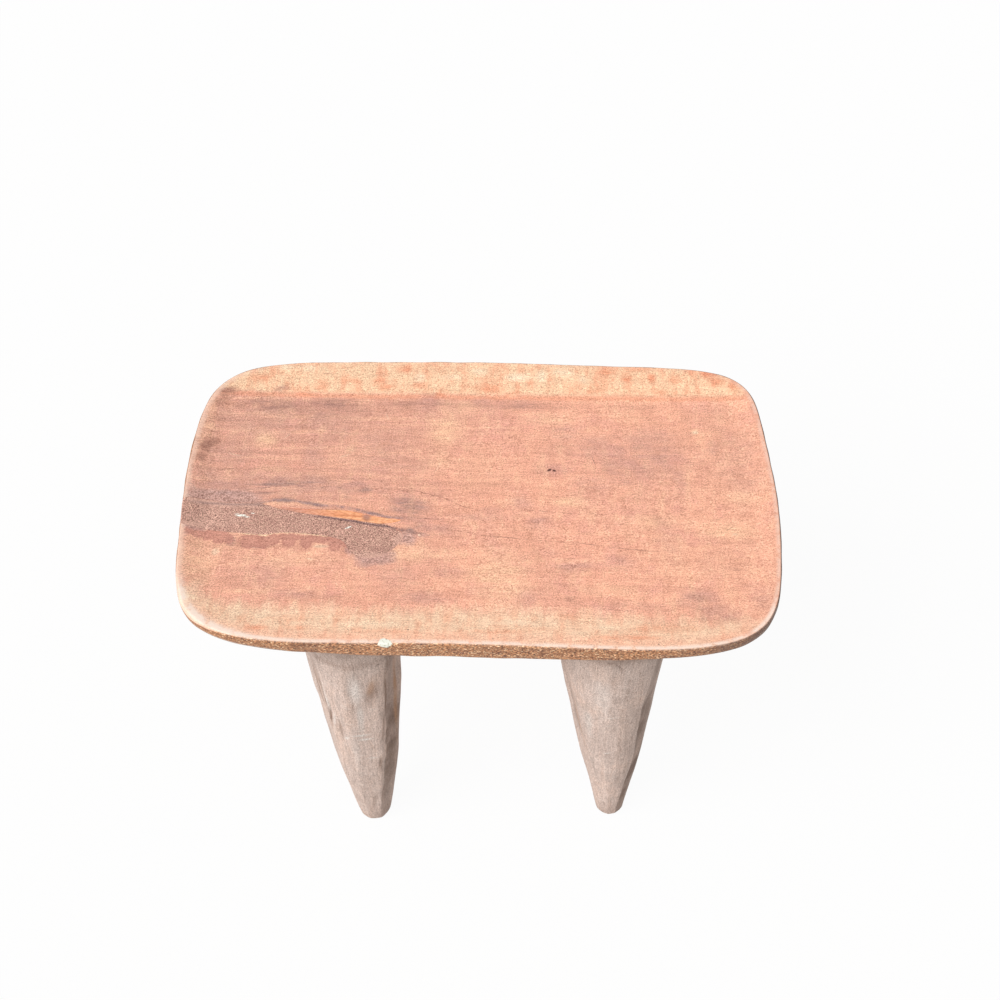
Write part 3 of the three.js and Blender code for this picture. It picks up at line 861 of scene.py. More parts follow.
@dataclass(frozen=True)
class OiledHardwood:
    """Close-grained red hardwood, adzed, then oiled and polished by hands and clothes.

    The grain runs along X. The real surface gives a soft sheen, a warm orange brown with duller
    clouds, a dark dirt line where the back margin starts, and pale worn margins. The pale arrises are partly
    worn and partly a painted highlight.
    """

    heart: str = "#F9B397"
    dull: str = "#DCA28E"
    bright: str = "#FFC7A2"
    streak: str = "#E0A085"
    rosy: str = "#EDA794"
    worn: str = "#FFD6AF"
    worn_front: str = "#FFDBB9"
    # Pale tint of the left end: partly wear and partly a painted highlight.
    worn_and_lit_end: str = "#FFDCC6"
    worn_dab: str = "#F2A683"
    hem: str = "#EFA17D"
    smear: str = "#CC8C7B"
    tide: str = "#B27568"
    halo: str = "#D7ABA0"
    halo_grain: str = "#9B7164"
    ink: str = "#7F5A50"
    knot: str = "#5A3328"
    pale: str = "#FBDDBE"
    arris: str = "#FEE9DA"
    rim: str = "#B0764F"
    rim_dark: str = "#8A5A43"
    rim_fleck: str = "#F2C9A0"
    rim_pit: str = "#5E3A2C"
    # The tint of the painted shade at the rim's right end.
    rim_end_shade: str = "#6B5045"
    bare: str = "#C9AD9E"
    bare_dark: str = "#947566"
    bare_pale: str = "#E2CDBF"
    scuffed: str = "#B98B7C"
    crease_y: float = 119.6 * MM
    roughness: float = 0.5

    def material(self) -> bpy.types.Material:
        """Build the finish: streaks 6 mm wide and fibres 1.4 mm wide along X, and bands across.

        Returns:
            The material for the seat board.
        """
        recipe = Recipe(bpy.data.materials.new("oiled_red_hardwood"))
        grain = recipe.patterns(recipe.swayed(9.0, (0.01, 0.016, 0.01)), {
            "streaks": (6.0, 150.0, 150.0, 5.0, 0.62),
            "fibres": (75.0, 720.0, 720.0, 3.0, 0.65),
            "bands": (125.0, 32.0, 32.0, 3.0, 0.6),
        })
        colour = self.field_colour(recipe, grain)
        colour = self.margins(recipe, colour)
        colour = self.marks(recipe, colour, grain)
        colour = self.edges(recipe, colour, grain["streaks"])
        low, high = self.roughness - 0.08, self.roughness + 0.1
        sheen = {0: grain["streaks"], 1: NOISE_LOW, 2: NOISE_HIGH, 3: low, 4: high}
        shine = recipe.add("MapRange", sheen)
        return recipe.finish(colour, shine, grain["fibres"], 0.35, 0.5)

    def field_colour(self, recipe: Recipe, grain: Mapping[str, Any]) -> Any:
        """Colour of the seat's field: clouds of dull and bright wood under streaks and pores.

        Args:
            recipe: The material.
            grain: Sockets of the grain.

        Returns:
            The socket of the colour.
        """
        noise = recipe.patterns(recipe.place, {
            "clouds": (15.0, 15.0, 15.0, 6.0, 0.62),
            "mottles": (85.0, 85.0, 85.0, 4.0, 0.65),
            "hues": (38.0, 38.0, 38.0, 4.0, 0.6),
        })
        clouds, mottles = noise["clouds"], noise["mottles"]
        streaks, bands = grain["streaks"], grain["bands"]
        towards = {0: recipe.place, 1: (1.0, -0.9, 0.0)}
        corner = recipe.add("VectorMath", towards, "Value", operation="DOT_PRODUCT")
        left = recipe.add("MapRange", {0: corner, 1: 0.02, 2: -0.28, 4: 0.75})
        layers = (
            (self.dull, clouds, 0.48, 0.66, 0.5), (self.dull, left),
            (self.bright, recipe.along, 0.1, 0.26, 0.2), (self.bright, clouds, 0.46, 0.3, 0.35),
            (self.rosy, noise["hues"], 0.52, 0.66, 0.6), (self.streak, streaks, 0.5, 0.72, 0.35),
            (self.bright, streaks, 0.46, 0.3, 0.25), (self.streak, mottles, 0.52, 0.68, 0.5),
            (self.bright, mottles, 0.46, 0.3, 0.4), (self.streak, bands, 0.5, 0.7, 0.5),
            (self.bright, bands, 0.46, 0.3, 0.35), (self.scuffed, streaks, 0.52, 0.64, 0.36, left),
            (self.bright, streaks, 0.46, 0.36, 0.4, left),
        )
        return recipe.layered(linear(self.heart), layers)

    def margins(self, recipe: Recipe, colour: Any) -> Any:
        """Pale worn margins, with tool dabs across them and a red hem along the crease.

        Args:
            recipe: The material.
            colour: Socket of the colour so far.

        Returns:
            The socket of the colour with its margins.
        """
        noise = recipe.patterns(recipe.place, {
            "rag": (170.0, 170.0, 170.0, 3.0, 0.5),
            "dabs": (115.0, 38.0, 38.0, 5.0, 0.68),
            "fingers": (90.0, 18.0, 18.0, 5.0, 0.7),
        })
        rag, dabs, line = noise["rag"], noise["dabs"], self.crease_y
        across = recipe.add("SeparateXYZ", {0: recipe.place}, "Y")
        crease = recipe.add("Math", {0: rag, 1: 5.0 * MM, 2: across}, operation="MULTIPLY_ADD")
        back = recipe.add("MapRange", {0: crease, 1: line + 3 * MM, 2: line + 8 * MM, 4: 0.8})
        hem_end = recipe.add("MapRange", {0: crease, 1: line + 6 * MM, 2: line + 3 * MM})
        border = recipe.add("Attribute", output="Fac", attribute_name="front_mm")
        front_edge = {0: noise["fingers"], 1: 40.0, 2: border}
        front_edge = recipe.add("Math", front_edge, operation="MULTIPLY_ADD")
        front = recipe.add("MapRange", {0: front_edge, 1: 27.0, 2: 12.0, 4: 0.78})
        inset = recipe.add("Attribute", output="Fac", attribute_name="inset_mm")
        layers = (
            (self.worn, back), (self.hem, crease, line - 1 * MM, line + 1 * MM, 0.5, hem_end),
            (self.worn_dab, dabs, 0.46, 0.62, 0.75, back), (self.worn_dab, rag, 0.54, 0.66, 0.5, back),
            (self.worn_front, front), (self.worn_dab, dabs, 0.46, 0.62, 0.6, front),
            (self.heart, inset, 17.0, 9.0, 0.5, front),
        )
        return recipe.layered(colour, layers)

    def marks(self, recipe: Recipe, colour: Any, grain: Mapping[str, Any]) -> Any:
        """Blotches, smears, cracks, scratches and the knot, each in its own place.

        Args:
            recipe: The material.
            colour: Socket of the colour so far.
            grain: Sockets of the grain.

        Returns:
            The socket of the colour with its marks.
        """
        noise = recipe.patterns(recipe.place, {
            "rag": (150.0, 150.0, 150.0, 5.0, 0.65),
            "specks": (650.0, 650.0, 650.0, 2.0, 0.5),
            "streaky": (55.0, 160.0, 160.0, 4.0, 0.65),
        })
        rag = noise["rag"]
        wander = recipe.add("MapRange", {0: rag, 1: 0.2, 2: 0.8, 3: -1.3, 4: 1.3})
        streaky = recipe.add("MapRange", {0: noise["streaky"], 1: 0.36, 2: 0.6, 3: 0.35, 4: 1.25})
        tinted = recipe.add("Attribute", output="Color", attribute_name="stain")
        cover = recipe.add("Attribute", output="Alpha", attribute_name="stain")
        cover = recipe.add("Math", {0: cover, 1: streaky}, operation="MULTIPLY", use_clamp=True)
        colour = recipe.add("Mix", {0: cover, 6: colour, 7: tinted}, 2, data_type="RGBA")
        smear_gap = recipe.add("Attribute", output="Fac", attribute_name="smear_mm")
        smear_wander = recipe.add("MapRange", {0: rag, 1: NOISE_LOW, 2: NOISE_HIGH, 3: -2.6, 4: 2.6})
        smear_gap = recipe.add("Math", {0: smear_gap, 1: smear_wander}, operation="ADD")
        smear = recipe.add("MapRange", {0: smear_gap, 1: 0.5, 2: -0.5, 4: 0.8})
        halo = recipe.add("Attribute", output="Fac", attribute_name="halo_share")
        halo = recipe.add("Math", {0: rag, 1: 0.9, 2: halo}, operation="MULTIPLY_ADD")
        halo = recipe.add("MapRange", {0: halo, 1: 0.72, 2: 1.3, 4: 0.75})
        layers = [
            (self.smear, smear), (self.tide, smear_gap, -3.0, -0.4, 0.45, smear),
            (self.halo, halo), (self.halo_grain, noise["specks"], 0.45, 0.58, 1.0, halo),
        ]
        drawn = ((self.pale, PALE_SCRATCHES), (self.ink, DARK_SPECKS), (self.knot, KNOT))
        layers += [(tint, recipe.most([mark.share(recipe) for mark in marks])) for tint, marks in drawn]
        breaks = recipe.add("MapRange", {0: rag, 1: 0.4, 2: 0.56, 3: 0.25, 4: 1.0})
        layers += [line.layer(recipe, wander, breaks) for line in SEAT_LINES]
        colour = recipe.layered(colour, layers)
        shades = ((grain["fibres"], 1.13, 0.86), (grain["streaks"], 1.035, 0.955), (rag, 1.03, 0.965))
        colour = recipe.shaded(colour, shades)
        coarse = recipe.add("MapRange", {0: recipe.along, 1: -0.12, 2: -0.25, 4: 0.18})
        rough = recipe.add("MapRange", {0: rag, 1: 0.36, 2: 0.62, 3: 0.45, 4: 1.1})
        rough = recipe.add("Math", {0: rough, 1: coarse}, operation="ADD")
        border = recipe.add("Attribute", output="Fac", attribute_name="front_mm")
        calm = recipe.add("MapRange", {0: border, 1: 6.0, 2: -8.0, 3: 1.0, 4: 0.85})
        rough = recipe.add("Math", {0: rough, 1: calm}, operation="MULTIPLY")
        specks = (800.0, 1050.0, 1050.0)
        return recipe.speckled(colour, specks, (0.56, 0.46, 0.44), (1.36, 1.50, 1.52), rough, 0.4)

    def edges(self, recipe: Recipe, colour: Any, streaks: Any) -> Any:
        """Worn arris with a painted highlight, brown rim face with flecks and pits, and bare underside.

        Args:
            recipe: The material.
            colour: Socket of the colour so far.
            streaks: Socket of the grain's streaks.

        Returns:
            The socket of the finished colour.
        """
        names = ("inset_mm", "rim_share", "under_share", "arris_share", "tool_share")
        inset, rim, under, arris, tooled = (
            recipe.add("Attribute", output="Fac", attribute_name=name) for name in names
        )
        noise = recipe.patterns(recipe.place, {
            "rag": (140.0, 140.0, 140.0, 4.0, 0.6),
            "flecks": (370.0, 900.0, 1050.0, 2.0, 0.5),
            "grime": (30.0, 90.0, 160.0, 4.0, 0.6),
        })
        rag, flecks, grime, along = noise["rag"], noise["flecks"], noise["grime"], recipe.along
        keen = recipe.add("MapRange", {0: along, 1: -0.19, 2: -0.245, 3: 1.0, 4: 0.4})
        brown = recipe.layered(linear(self.rim), (
            (self.rim_dark, grime, 0.48, 0.66, 0.7), (self.rim_pit, flecks, 0.46, 0.34, 0.7, keen),
            (self.rim_fleck, flecks, 0.56, 0.66, 0.8, keen),
        ))
        grit = (640.0, 840.0, 1000.0)
        brown = recipe.speckled(brown, grit, (0.16, 0.12, 0.1), (1.95, 2.12, 2.22), keen)
        # The last two layers darken the rim towards its right end with painted shade.
        brown = recipe.layered(brown, (
            (self.rim_pit, Mark(-134, -153, 44, 16, 0, 0.75).share(recipe)),
            (self.rim_end_shade, along, 0.15, 0.23, 0.65), (self.rim_pit, along, 0.215, 0.25, 0.4),
        ))
        # Near the left end the margin is pale, partly from wear and partly a painted highlight; near the
        # right end it is duller.
        near_edge = recipe.add("Math", {0: rag, 1: 9.0, 2: inset}, operation="MULTIPLY_ADD")
        ends = recipe.add("MapRange", {0: near_edge, 1: 12.0, 2: 6.0})
        colour = recipe.layered(colour, (
            (self.worn_and_lit_end, along, -0.2, -0.24, 0.6, ends), (self.streak, along, 0.2, 0.24, 0.7, ends),
        ))
        rim_edge = recipe.add("Math", {0: rag, 1: 0.4, 2: rim}, operation="MULTIPLY_ADD")
        rim_share = recipe.add("MapRange", {0: rim_edge, 1: 0.45, 2: 0.7})
        colour = recipe.add("Mix", {0: rim_share, 6: colour, 7: brown}, 2, data_type="RGBA")
        # The pale arris is partly wear and partly a painted highlight, broken up by noise.
        arris_breaks = recipe.add("MapRange", {0: rag, 1: 0.36, 2: 0.52, 3: 0.2, 4: 1.0})
        arris = recipe.add("Math", {0: arris, 1: arris_breaks}, operation="MULTIPLY")
        arris = recipe.add("Math", {0: arris, 1: 0.88}, operation="MINIMUM")
        colour = recipe.layered(colour, ((self.arris, arris),))
        bare = recipe.layered(linear(self.bare), (
            (self.bare_dark, streaks, 0.5, 0.66, 0.6), (self.bare_pale, streaks, 0.46, 0.32, 0.5),
            (self.bare_dark, grime, 0.5, 0.68, 0.45), (self.bare_pale, tooled, 0.6, 1.1, 0.4),
            (self.bare_dark, tooled, 0.3, 0.0, 0.25),
        ))
        bare = recipe.speckled(bare, grit, (0.6, 0.56, 0.54), (1.3, 1.38, 1.4))
        under_edge = recipe.add("Math", {0: rag, 1: 0.8, 2: under}, operation="MULTIPLY_ADD")
        under_share = recipe.add("MapRange", {0: under_edge, 1: 0.7, 2: 1.2})
        return recipe.add("Mix", {0: under_share, 6: colour, 7: bare}, 2, data_type="RGBA")


@dataclass(frozen=True)
class WeatheredHardwood:
    """The same hardwood left bare: adzed, greyed by dust and handling, with fibres along Z.

    The real surface is matt and chalky, grey beige with pink and brown streaks down each leg.
    """

    dust: str = "#DAC2B6"
    grey: str = "#BBA79D"
    pink: str = "#E0C0AE"
    brown: str = "#886A59"
    # The tint of the painted shade on the leg flats that face away from the light.
    shaded: str = "#846C5F"
    chalk: str = "#E9DDD5"
    orange: str = "#B78A68"
    ink: str = "#6F5A50"
    roughness: float = 0.85

    def material(self) -> bpy.types.Material:
        """Build the finish, from dust and streaks up to the marks and the painted shade that each leg stores.

        Returns:
            The material for the legs.
        """
        recipe = Recipe(bpy.data.materials.new("weathered_bare_hardwood"))
        noise = recipe.patterns(recipe.swayed(16.0, (0.012, 0.012, 0.0)), {
            "streaks": (130.0, 130.0, 9.0, 4.0, 0.6),
            "fibres": (560.0, 560.0, 30.0, 4.0, 0.6),
            "cuts": (70.0, 70.0, 420.0, 4.0, 0.6),
            "clouds": (30.0, 30.0, 24.0, 4.0, 0.6),
            "hairs": (150.0, 150.0, 13.0, 4.0, 0.6),
        })
        clouds, streaks = noise["clouds"], noise["streaks"]
        patchy = recipe.add("MapRange", {0: clouds, 1: 0.35, 2: 0.6, 3: 0.5, 4: 1.2})
        marked = {}
        for name in (PAINTED_SHADE_FIELD, *LEG_FIELDS):
            share = recipe.add("Attribute", output="Fac", attribute_name=name)
            marked[name] = recipe.add("Math", {0: share, 1: patchy}, operation="MULTIPLY", use_clamp=True)
        off_middle = recipe.add("Math", {0: noise["hairs"], 1: 0.5}, operation="SUBTRACT")
        off_middle = recipe.add("Math", {0: off_middle}, operation="ABSOLUTE")
        height = recipe.add("SeparateXYZ", {0: recipe.place}, "Z")
        # The grey and brown layers that follow the height near the top of each leg are painted shade under
        # the seat.
        colour = recipe.layered(linear(self.dust), (
            (self.grey, clouds, 0.48, 0.66, 0.4), (self.pink, clouds, 0.48, 0.32, 0.5),
            (self.grey, streaks, 0.5, 0.68, 0.45), (self.pink, streaks, 0.46, 0.32, 0.35),
            (self.chalk, noise["cuts"], 0.56, 0.7, 0.35), (self.grey, height, 0.26, 0.325, 0.6),
            (self.brown, height, 0.30, 0.335, 0.4), (self.brown, height, 0.03, 0.0, 0.3),
            (self.shaded, marked[PAINTED_SHADE_FIELD]), (self.brown, off_middle, 0.022, 0.004, 0.3),
            (self.chalk, marked["leg_chalk"]), (self.brown, marked["leg_brown"]),
            (self.orange, marked["leg_orange"]), (self.ink, marked["leg_ink"]),
        ))
        colour = recipe.shaded(colour, ((noise["fibres"], 1.12, 0.86),))
        grit = (1050.0, 1050.0, 900.0)
        colour = recipe.speckled(colour, grit, (0.62, 0.59, 0.57), (1.28, 1.33, 1.35), 1.0, 0.3)
        relief = recipe.add("Math", {0: noise["fibres"], 1: noise["cuts"]}, operation="ADD")
        return recipe.finish(colour, self.roughness, relief, 0.6, 0.7)


@dataclass(frozen=True)
class SawdustPaste:
    """Sawdust stirred into resin and pressed into the crack: matt, gritty and grey brown."""

    body: str = "#C79583"
    dark_grain: str = "#A07064"
    pale_grain: str = "#F2CBAC"
    wood: str = "#DBAB98"
    fleck: str = "#FBF3E4"

    def material(self) -> bpy.types.Material:
        """Build the finish, with grains of 1.3 mm, as coarse as the picture can show them.

        Returns:
            The material for the paste.
        """
        recipe = Recipe(bpy.data.materials.new("sawdust_resin_paste"))
        noise = recipe.patterns(recipe.place, {
            "grains": (1 / (1.3 * MM), 1 / (1.3 * MM), 1 / (1.3 * MM), 2.0, 0.5),
            "clouds": (60.0, 60.0, 60.0, 3.0, 0.5),
            "rag": (150.0, 150.0, 150.0, 5.0, 0.65),
        })
        grains = noise["grains"]
        thin = recipe.add("Attribute", output="Fac", attribute_name="thin_share")
        thin = recipe.add("Math", {0: noise["rag"], 1: 0.9, 2: thin}, operation="MULTIPLY_ADD")
        thin = recipe.add("MapRange", {0: thin, 1: 0.72, 2: 1.3, 4: 0.85})
        colour = recipe.layered(linear(self.body), (
            (self.dark_grain, noise["clouds"], 0.45, 0.75, 0.4),
            (self.dark_grain, grains, 0.5, 0.66, 0.35), (self.pale_grain, grains, 0.47, 0.33, 0.35),
            (self.wood, thin), (self.fleck, recipe.most([mark.share(recipe) for mark in WHITE_FLECKS])),
            *(line.layer(recipe) for line in CRACK_LINES),
        ))
        gritty = recipe.add("MapRange", {0: thin, 1: 0.3, 2: 0.85, 3: 1.0, 4: 0.5})
        grit = (900.0, 1100.0, 1100.0)
        colour = recipe.speckled(colour, grit, (0.24, 0.20, 0.18), (1.74, 1.88, 1.96), gritty)
        return recipe.finish(colour, 0.9, grains, 0.6, 0.8, 1.5)


@dataclass(frozen=True)
class FreshSplint:
    """A strip of fresh wood split along its grain: clean bright orange with darker torn edges."""

    core: str = "#FDB384"
    light: str = "#FFCC9C"
    torn: str = "#E18B62"
    old: str = "#DF9A80"
    tip: str = "#C88F7A"
    bridge: str = "#B5806E"

    def material(self) -> bpy.types.Material:
        """Build the finish, brightest in the middle and dull where the strip runs out.

        Returns:
            The material for the splint.
        """
        recipe = Recipe(bpy.data.materials.new("fresh_split_wood"))
        fibres = recipe.patterns(recipe.place, {"fibres": (18.0, 420.0, 420.0, 4.0, 0.5)})["fibres"]
        colour = recipe.layered(linear(self.core), (
            (self.light, fibres, 0.48, 0.34, 0.8), (self.torn, fibres, 0.54, 0.7, 0.75),
            (self.old, recipe.along, -0.122, -0.15, 0.9), (self.tip, recipe.along, -0.15, -0.162, 0.75),
            (self.bridge, Mark(-96.5, -21.5, 11, 14, 20, 0.95).share(recipe)),
            *(line.layer(recipe) for line in CRACK_LINES),
        ))
        grit = (320.0, 640.0, 640.0)
        colour = recipe.speckled(colour, grit, (0.78, 0.70, 0.62), (1.16, 1.26, 1.34))
        return recipe.finish(colour, 0.55, fibres, 0.5, 0.5)


@dataclass(frozen=True)
class WhiteFiller:
    """Hard off-white filler pushed into the nick by hand: chalky, faintly green, with pits."""

    body: str = "#F4F6E8"
    pit: str = "#A5A088"

    def material(self) -> bpy.types.Material:
        """Build the finish, with pits about 2 mm apart.

        Returns:
            The material of the filler.
        """
        recipe = Recipe(bpy.data.materials.new("off_white_filler"))
        pits = recipe.patterns(recipe.place, {"pits": (520.0, 520.0, 520.0, 3.0, 0.5)})["pits"]
        colour = recipe.layered(linear(self.body), ((self.pit, pits, 0.54, 0.7, 0.8),))
        return recipe.finish(colour, 0.8, pits, 0.5, 0.5, 1.5)


@dataclass
class Outline:
    """The seat seen from above: a superellipse with its own squareness at each corner.

    Attributes:
        half_length: Half the seat's length, in metres.
        half_depth: Half its depth, in metres.
        squareness: For the front left, front right, back left and back right corners.
        wander_shares: Waves round the seat, with their cosine and sine shares of half the depth.
        steps: How many points its ring has.
        middle: Middle of the raw outline's box.
        stretch: What fits the raw outline to the seat's box, in x and y.
        ring: Points of the fitted outline.
        outward: Outward direction at each of them.
    """

    half_length: float
    half_depth: float
    squareness: tuple[float, float, float, float] = (5.5, 5.9, 6.0, 7.5)
    wander_shares: tuple[tuple[int, float, float], ...] = (
        (2, 0.026, -0.015), (3, 0.003, -0.008), (4, 0.010, -0.004), (5, 0.002, 0.005),
    )
    steps: int = 960
    middle: np.ndarray = field(init=False)
    stretch: np.ndarray = field(init=False)
    ring: np.ndarray = field(init=False)
    outward: np.ndarray = field(init=False)

    def __post_init__(self) -> None:
        """Fit the raw outline to the seat's box, and keep a ring of its points and normals."""
        angles = np.linspace(0.0, 2.0 * np.pi, self.steps, endpoint=False)
        raw = self.raw(angles)
        low, high = raw.min(axis=0), raw.max(axis=0)
        self.middle = (low + high) / 2
        self.stretch = 2.0 * np.array([self.half_length, self.half_depth]) / (high - low)
        self.ring = self.at(angles)
        self.outward = -inward(np.roll(self.ring, -1, axis=0) - np.roll(self.ring, 1, axis=0))

    def raw(self, angle: np.ndarray) -> np.ndarray:
        """The outline before it is fitted: (|cos/a|^n + |sin/b|^n)^(-1/n), plus the wander.

        Args:
            angle: Angles round the seat, in radians.

        Returns:
            One row of x and y per angle.
        """
        cosine, sine = np.cos(angle), np.sin(angle)
        right = 0.5 + 0.5 * np.sin(np.pi / 2 * cosine)
        back = 0.5 + 0.5 * np.sin(np.pi / 2 * sine)
        front_left, front_right, back_left, back_right = self.squareness
        square = (1 - back) * ((1 - right) * front_left + right * front_right)
        square = square + back * ((1 - right) * back_left + right * back_right)
        bearing = self.bearing(cosine, sine)
        across = np.abs(np.cos(bearing) / self.half_length) ** square
        along = np.abs(np.sin(bearing) / self.half_depth) ** square
        radius = (across + along) ** (-1.0 / square)
        for count, cosine_share, sine_share in self.wander_shares:
            wave = cosine_share * np.cos(count * angle) + sine_share * np.sin(count * angle)
            radius = radius + self.half_depth * wave
        return np.stack([radius * np.cos(bearing), radius * np.sin(bearing)], axis=1)

    def bearing(self, u: np.ndarray, v: np.ndarray) -> np.ndarray:
        """Angle round the seat of places that are given in shares of its half length and depth."""
        return np.arctan2(v * self.half_depth, u * self.half_length)

    def at(self, angle: np.ndarray) -> np.ndarray:
        """Points of the fitted outline, one row of x and y per angle."""
        return (self.raw(angle) - self.middle) * self.stretch

    def inset(self, places: np.ndarray) -> tuple[np.ndarray, np.ndarray]:
        """How far each place lies in from the outline, measured square to its nearest side.

        Args:
            places: One row of x and y per place.

        Returns:
            The distances, and the outward direction of the nearest side.
        """
        index, _ = nearest(places, self.ring)
        outward = self.outward[index]
        return ((self.ring[index] - places) * outward).sum(axis=1), outward

    def moved_in(self, angle: np.ndarray, inset: np.ndarray | float) -> np.ndarray:
        """Points of the outline moved square to it, one row of x and y per angle."""
        aside = inward(self.at(angle + 1e-3) - self.at(angle - 1e-3))
        return self.at(angle) + aside * np.reshape(inset, (-1, 1))

    def near_worn_corner(self, places: np.ndarray, reach: float) -> np.ndarray:
        """1 at the front left corner, which is worn most, falling away as a bell with a reach."""
        return np.exp(-(((places - WORN_CORNER) / reach) ** 2).sum(axis=1))


@dataclass
class SeatBoard:
    """The dished board with its margins, rounded arrises, thin ends and adzed underside.

    Attributes:
        outline: The seat seen from above.
        top: Height of the rim's top, in metres.
        rim_thickness: Rim thickness at the middle of the long sides.
        end_thinning: How much thinner the rim is at the ends.
        dish_depth: Depth of the field below the rim.
        side_margin: Width of the margins along the long sides.
        end_margin: Width of the margins at the ends.
        top_rounding: Radius of the top arris.
        soft_corner: Radius of the top arris at the front left corner.
        under_rounding: Radius of the lower arris.
        under_bulge: How much thicker the board gets inside its rim.
        under_bulge_width: How far in it reaches that thickness.
        crest_drop: How far the crest lies below the top, so that its waves stay under it.
        slow_waves: Height of the field's slow waves.
        tool_waves: Height of the tool marks across the margins.
        plane_waves: Height of the marks along the grain.
        rim_waves: How much the rim's thickness wanders.
        arris_waves: How much the top arris's radius wanders.
        rim_swell: How much the rim's face swells in and out.
        scoop_depth: Depth of the adze scoops of the underside.
        band: Width of the rings between the flat faces and the outline.
        grid: Cells along and across the flat faces.
    """

    outline: Outline
    top: float
    rim_thickness: float = 21.3 * MM
    end_thinning: float = 9.3 * MM
    dish_depth: float = 5.0 * MM
    side_margin: float = 41.0 * MM
    end_margin: float = 26.0 * MM
    top_rounding: float = 1.6 * MM
    soft_corner: float = 3.6 * MM
    under_rounding: float = 4.0 * MM
    under_bulge: float = 4.0 * MM
    under_bulge_width: float = 35.0 * MM
    crest_drop: float = 0.3 * MM
    slow_waves: float = 0.30 * MM
    tool_waves: float = 0.16 * MM
    plane_waves: float = 0.10 * MM
    rim_waves: float = 0.45 * MM
    arris_waves: float = 0.3 * MM
    rim_swell: float = 0.25 * MM
    scoop_depth: float = 1.1 * MM
    band: float = 10.0 * MM
    grid: tuple[int, int] = (230, 144)

    def top_height(self, places: np.ndarray) -> np.ndarray:
        """Height of the seat: the rim, less a dish whose back border is a crisp crease.

        The dish is the depth times t^1.4 behind and a smooth step of t elsewhere, where t is the
        inset over the margin's width. Slow waves and shallow tool marks are taken off it.

        Args:
            places: One row of x and y per place.

        Returns:
            The heights in metres.
        """
        inset, outward = self.outline.inset(places)
        margin = self.end_margin + (self.side_margin - self.end_margin) * outward[:, 1] ** 2
        share = np.clip(inset / margin, 0.0, 1.0)
        crisp = ease(outward[:, 1], 0.2, 0.9)
        dish = crisp * share**1.4 + (1.0 - crisp) * ease(share, 0.0, 1.0)
        slow = self.slow_waves * waves(places, 90 * MM, GRAIN_SEED)
        tools = self.tool_waves * waves(places * (1.0, 0.35), 19 * MM, GRAIN_SEED + 1)
        planed = self.plane_waves * waves(places * (0.3, 1.0), 12 * MM, GRAIN_SEED + 2)
        uneven = (slow + planed + tools * (0.35 + 0.65 * (share < 1.0))) * ease(inset, 0.0, 20 * MM)
        return self.top - self.crest_drop - self.dish_depth * dish + uneven

    def thickness(self, places: np.ndarray) -> np.ndarray:
        """Rim thickness: full at mid length, less end_thinning times sin^2, with a hand's wander."""
        taper = self.end_thinning * np.sin(np.pi * places[:, 0] / (2 * self.outline.half_length)) ** 2
        return self.rim_thickness - taper + self.rim_waves * waves(places, 48 * MM, GRAIN_SEED + 3)

    def tooled(self, places: np.ndarray) -> np.ndarray:
        """The adze scoops of the underside: 0 in their middles and about 1 between them."""
        reach = self.outline.half_length
        return scoops(places * STRETCH_UNDER, reach, SCOOP_SPACING, GRAIN_SEED + 4)

    def under_height(self, places: np.ndarray) -> np.ndarray:
        """Height of the underside: the rim's lower edge, a smooth bulge inside it, and scoops.

        Args:
            places: One row of x and y per place.

        Returns:
            The heights in metres.
        """
        inset, _ = self.outline.inset(places)
        bulge = self.under_bulge * ease(inset, self.under_rounding, self.under_bulge_width)
        bowls = self.scoop_depth * ease(inset, 6 * MM, 20 * MM) * (1.0 - self.tooled(places))
        return self.top - self.thickness(places) - bulge + np.maximum(bowls, 0.0)

    def border(self) -> tuple[np.ndarray, np.ndarray]:
        """The border of the grid, anticlockwise from the front left.

        Returns:
            The angle round the seat of each border vertex, and its index in the grid.
        """
        across, along = self.grid
        u, v = np.linspace(-1.0, 1.0, across + 1), np.linspace(-1.0, 1.0, along + 1)
        front = np.stack([u[:-1], np.full(across, -1.0)], axis=1)
        right = np.stack([np.full(along, 1.0), v[:-1]], axis=1)
        square = np.concatenate([front, right, -front, -right])
        index = np.arange((across + 1) * (along + 1)).reshape(along + 1, across + 1)
        sides = (index[0, :-1], index[:-1, -1], index[-1, :0:-1], index[:0:-1, 0])
        return self.outline.bearing(*square.T), np.concatenate(sides)

    def face_places(self) -> np.ndarray:
        """Grid points inside the band: rays to its border, cut off in proportion.

        Returns:
            One row of x and y per grid point, row by row from the front.
        """
        across, along = self.grid
        u, v = np.meshgrid(np.linspace(-1, 1, across + 1), np.linspace(-1, 1, along + 1))
        u, v = u.ravel(), v.ravel()
        reach = np.maximum(np.abs(u), np.abs(v))
        return self.outline.moved_in(self.outline.bearing(u, v), self.band) * reach[:, None]

    def rim_rings(self, angle: np.ndarray) -> np.ndarray:
        """Rings from the seat's face over the top arris, down the rim and round under it.

        Each arris is a quarter round, and the rim between them swells by a hand's wander.

        Args:
            angle: Angles round the seat.

        Returns:
            One row of x, y and z per angle, ring by ring from the seat's face down.
        """
        edge = self.outline.at(angle)
        corner = self.outline.near_worn_corner(edge, 60 * MM)
        wander = self.arris_waves * waves(edge, 36 * MM, GRAIN_SEED + 5)
        top_radius = self.top_rounding + (self.soft_corner - self.top_rounding) * corner + wander
        swell = self.rim_swell * (1.0 + np.clip(waves(edge, 30 * MM, GRAIN_SEED + 6), -1, 1))
        crest = self.top_height(self.outline.moved_in(angle, self.top_rounding))
        foot = self.top - self.thickness(edge)
        room = crest - foot
        top_radius = np.minimum(top_radius, 0.55 * room)
        low_radius = np.minimum(self.under_rounding, 0.38 * room)
        rings = []
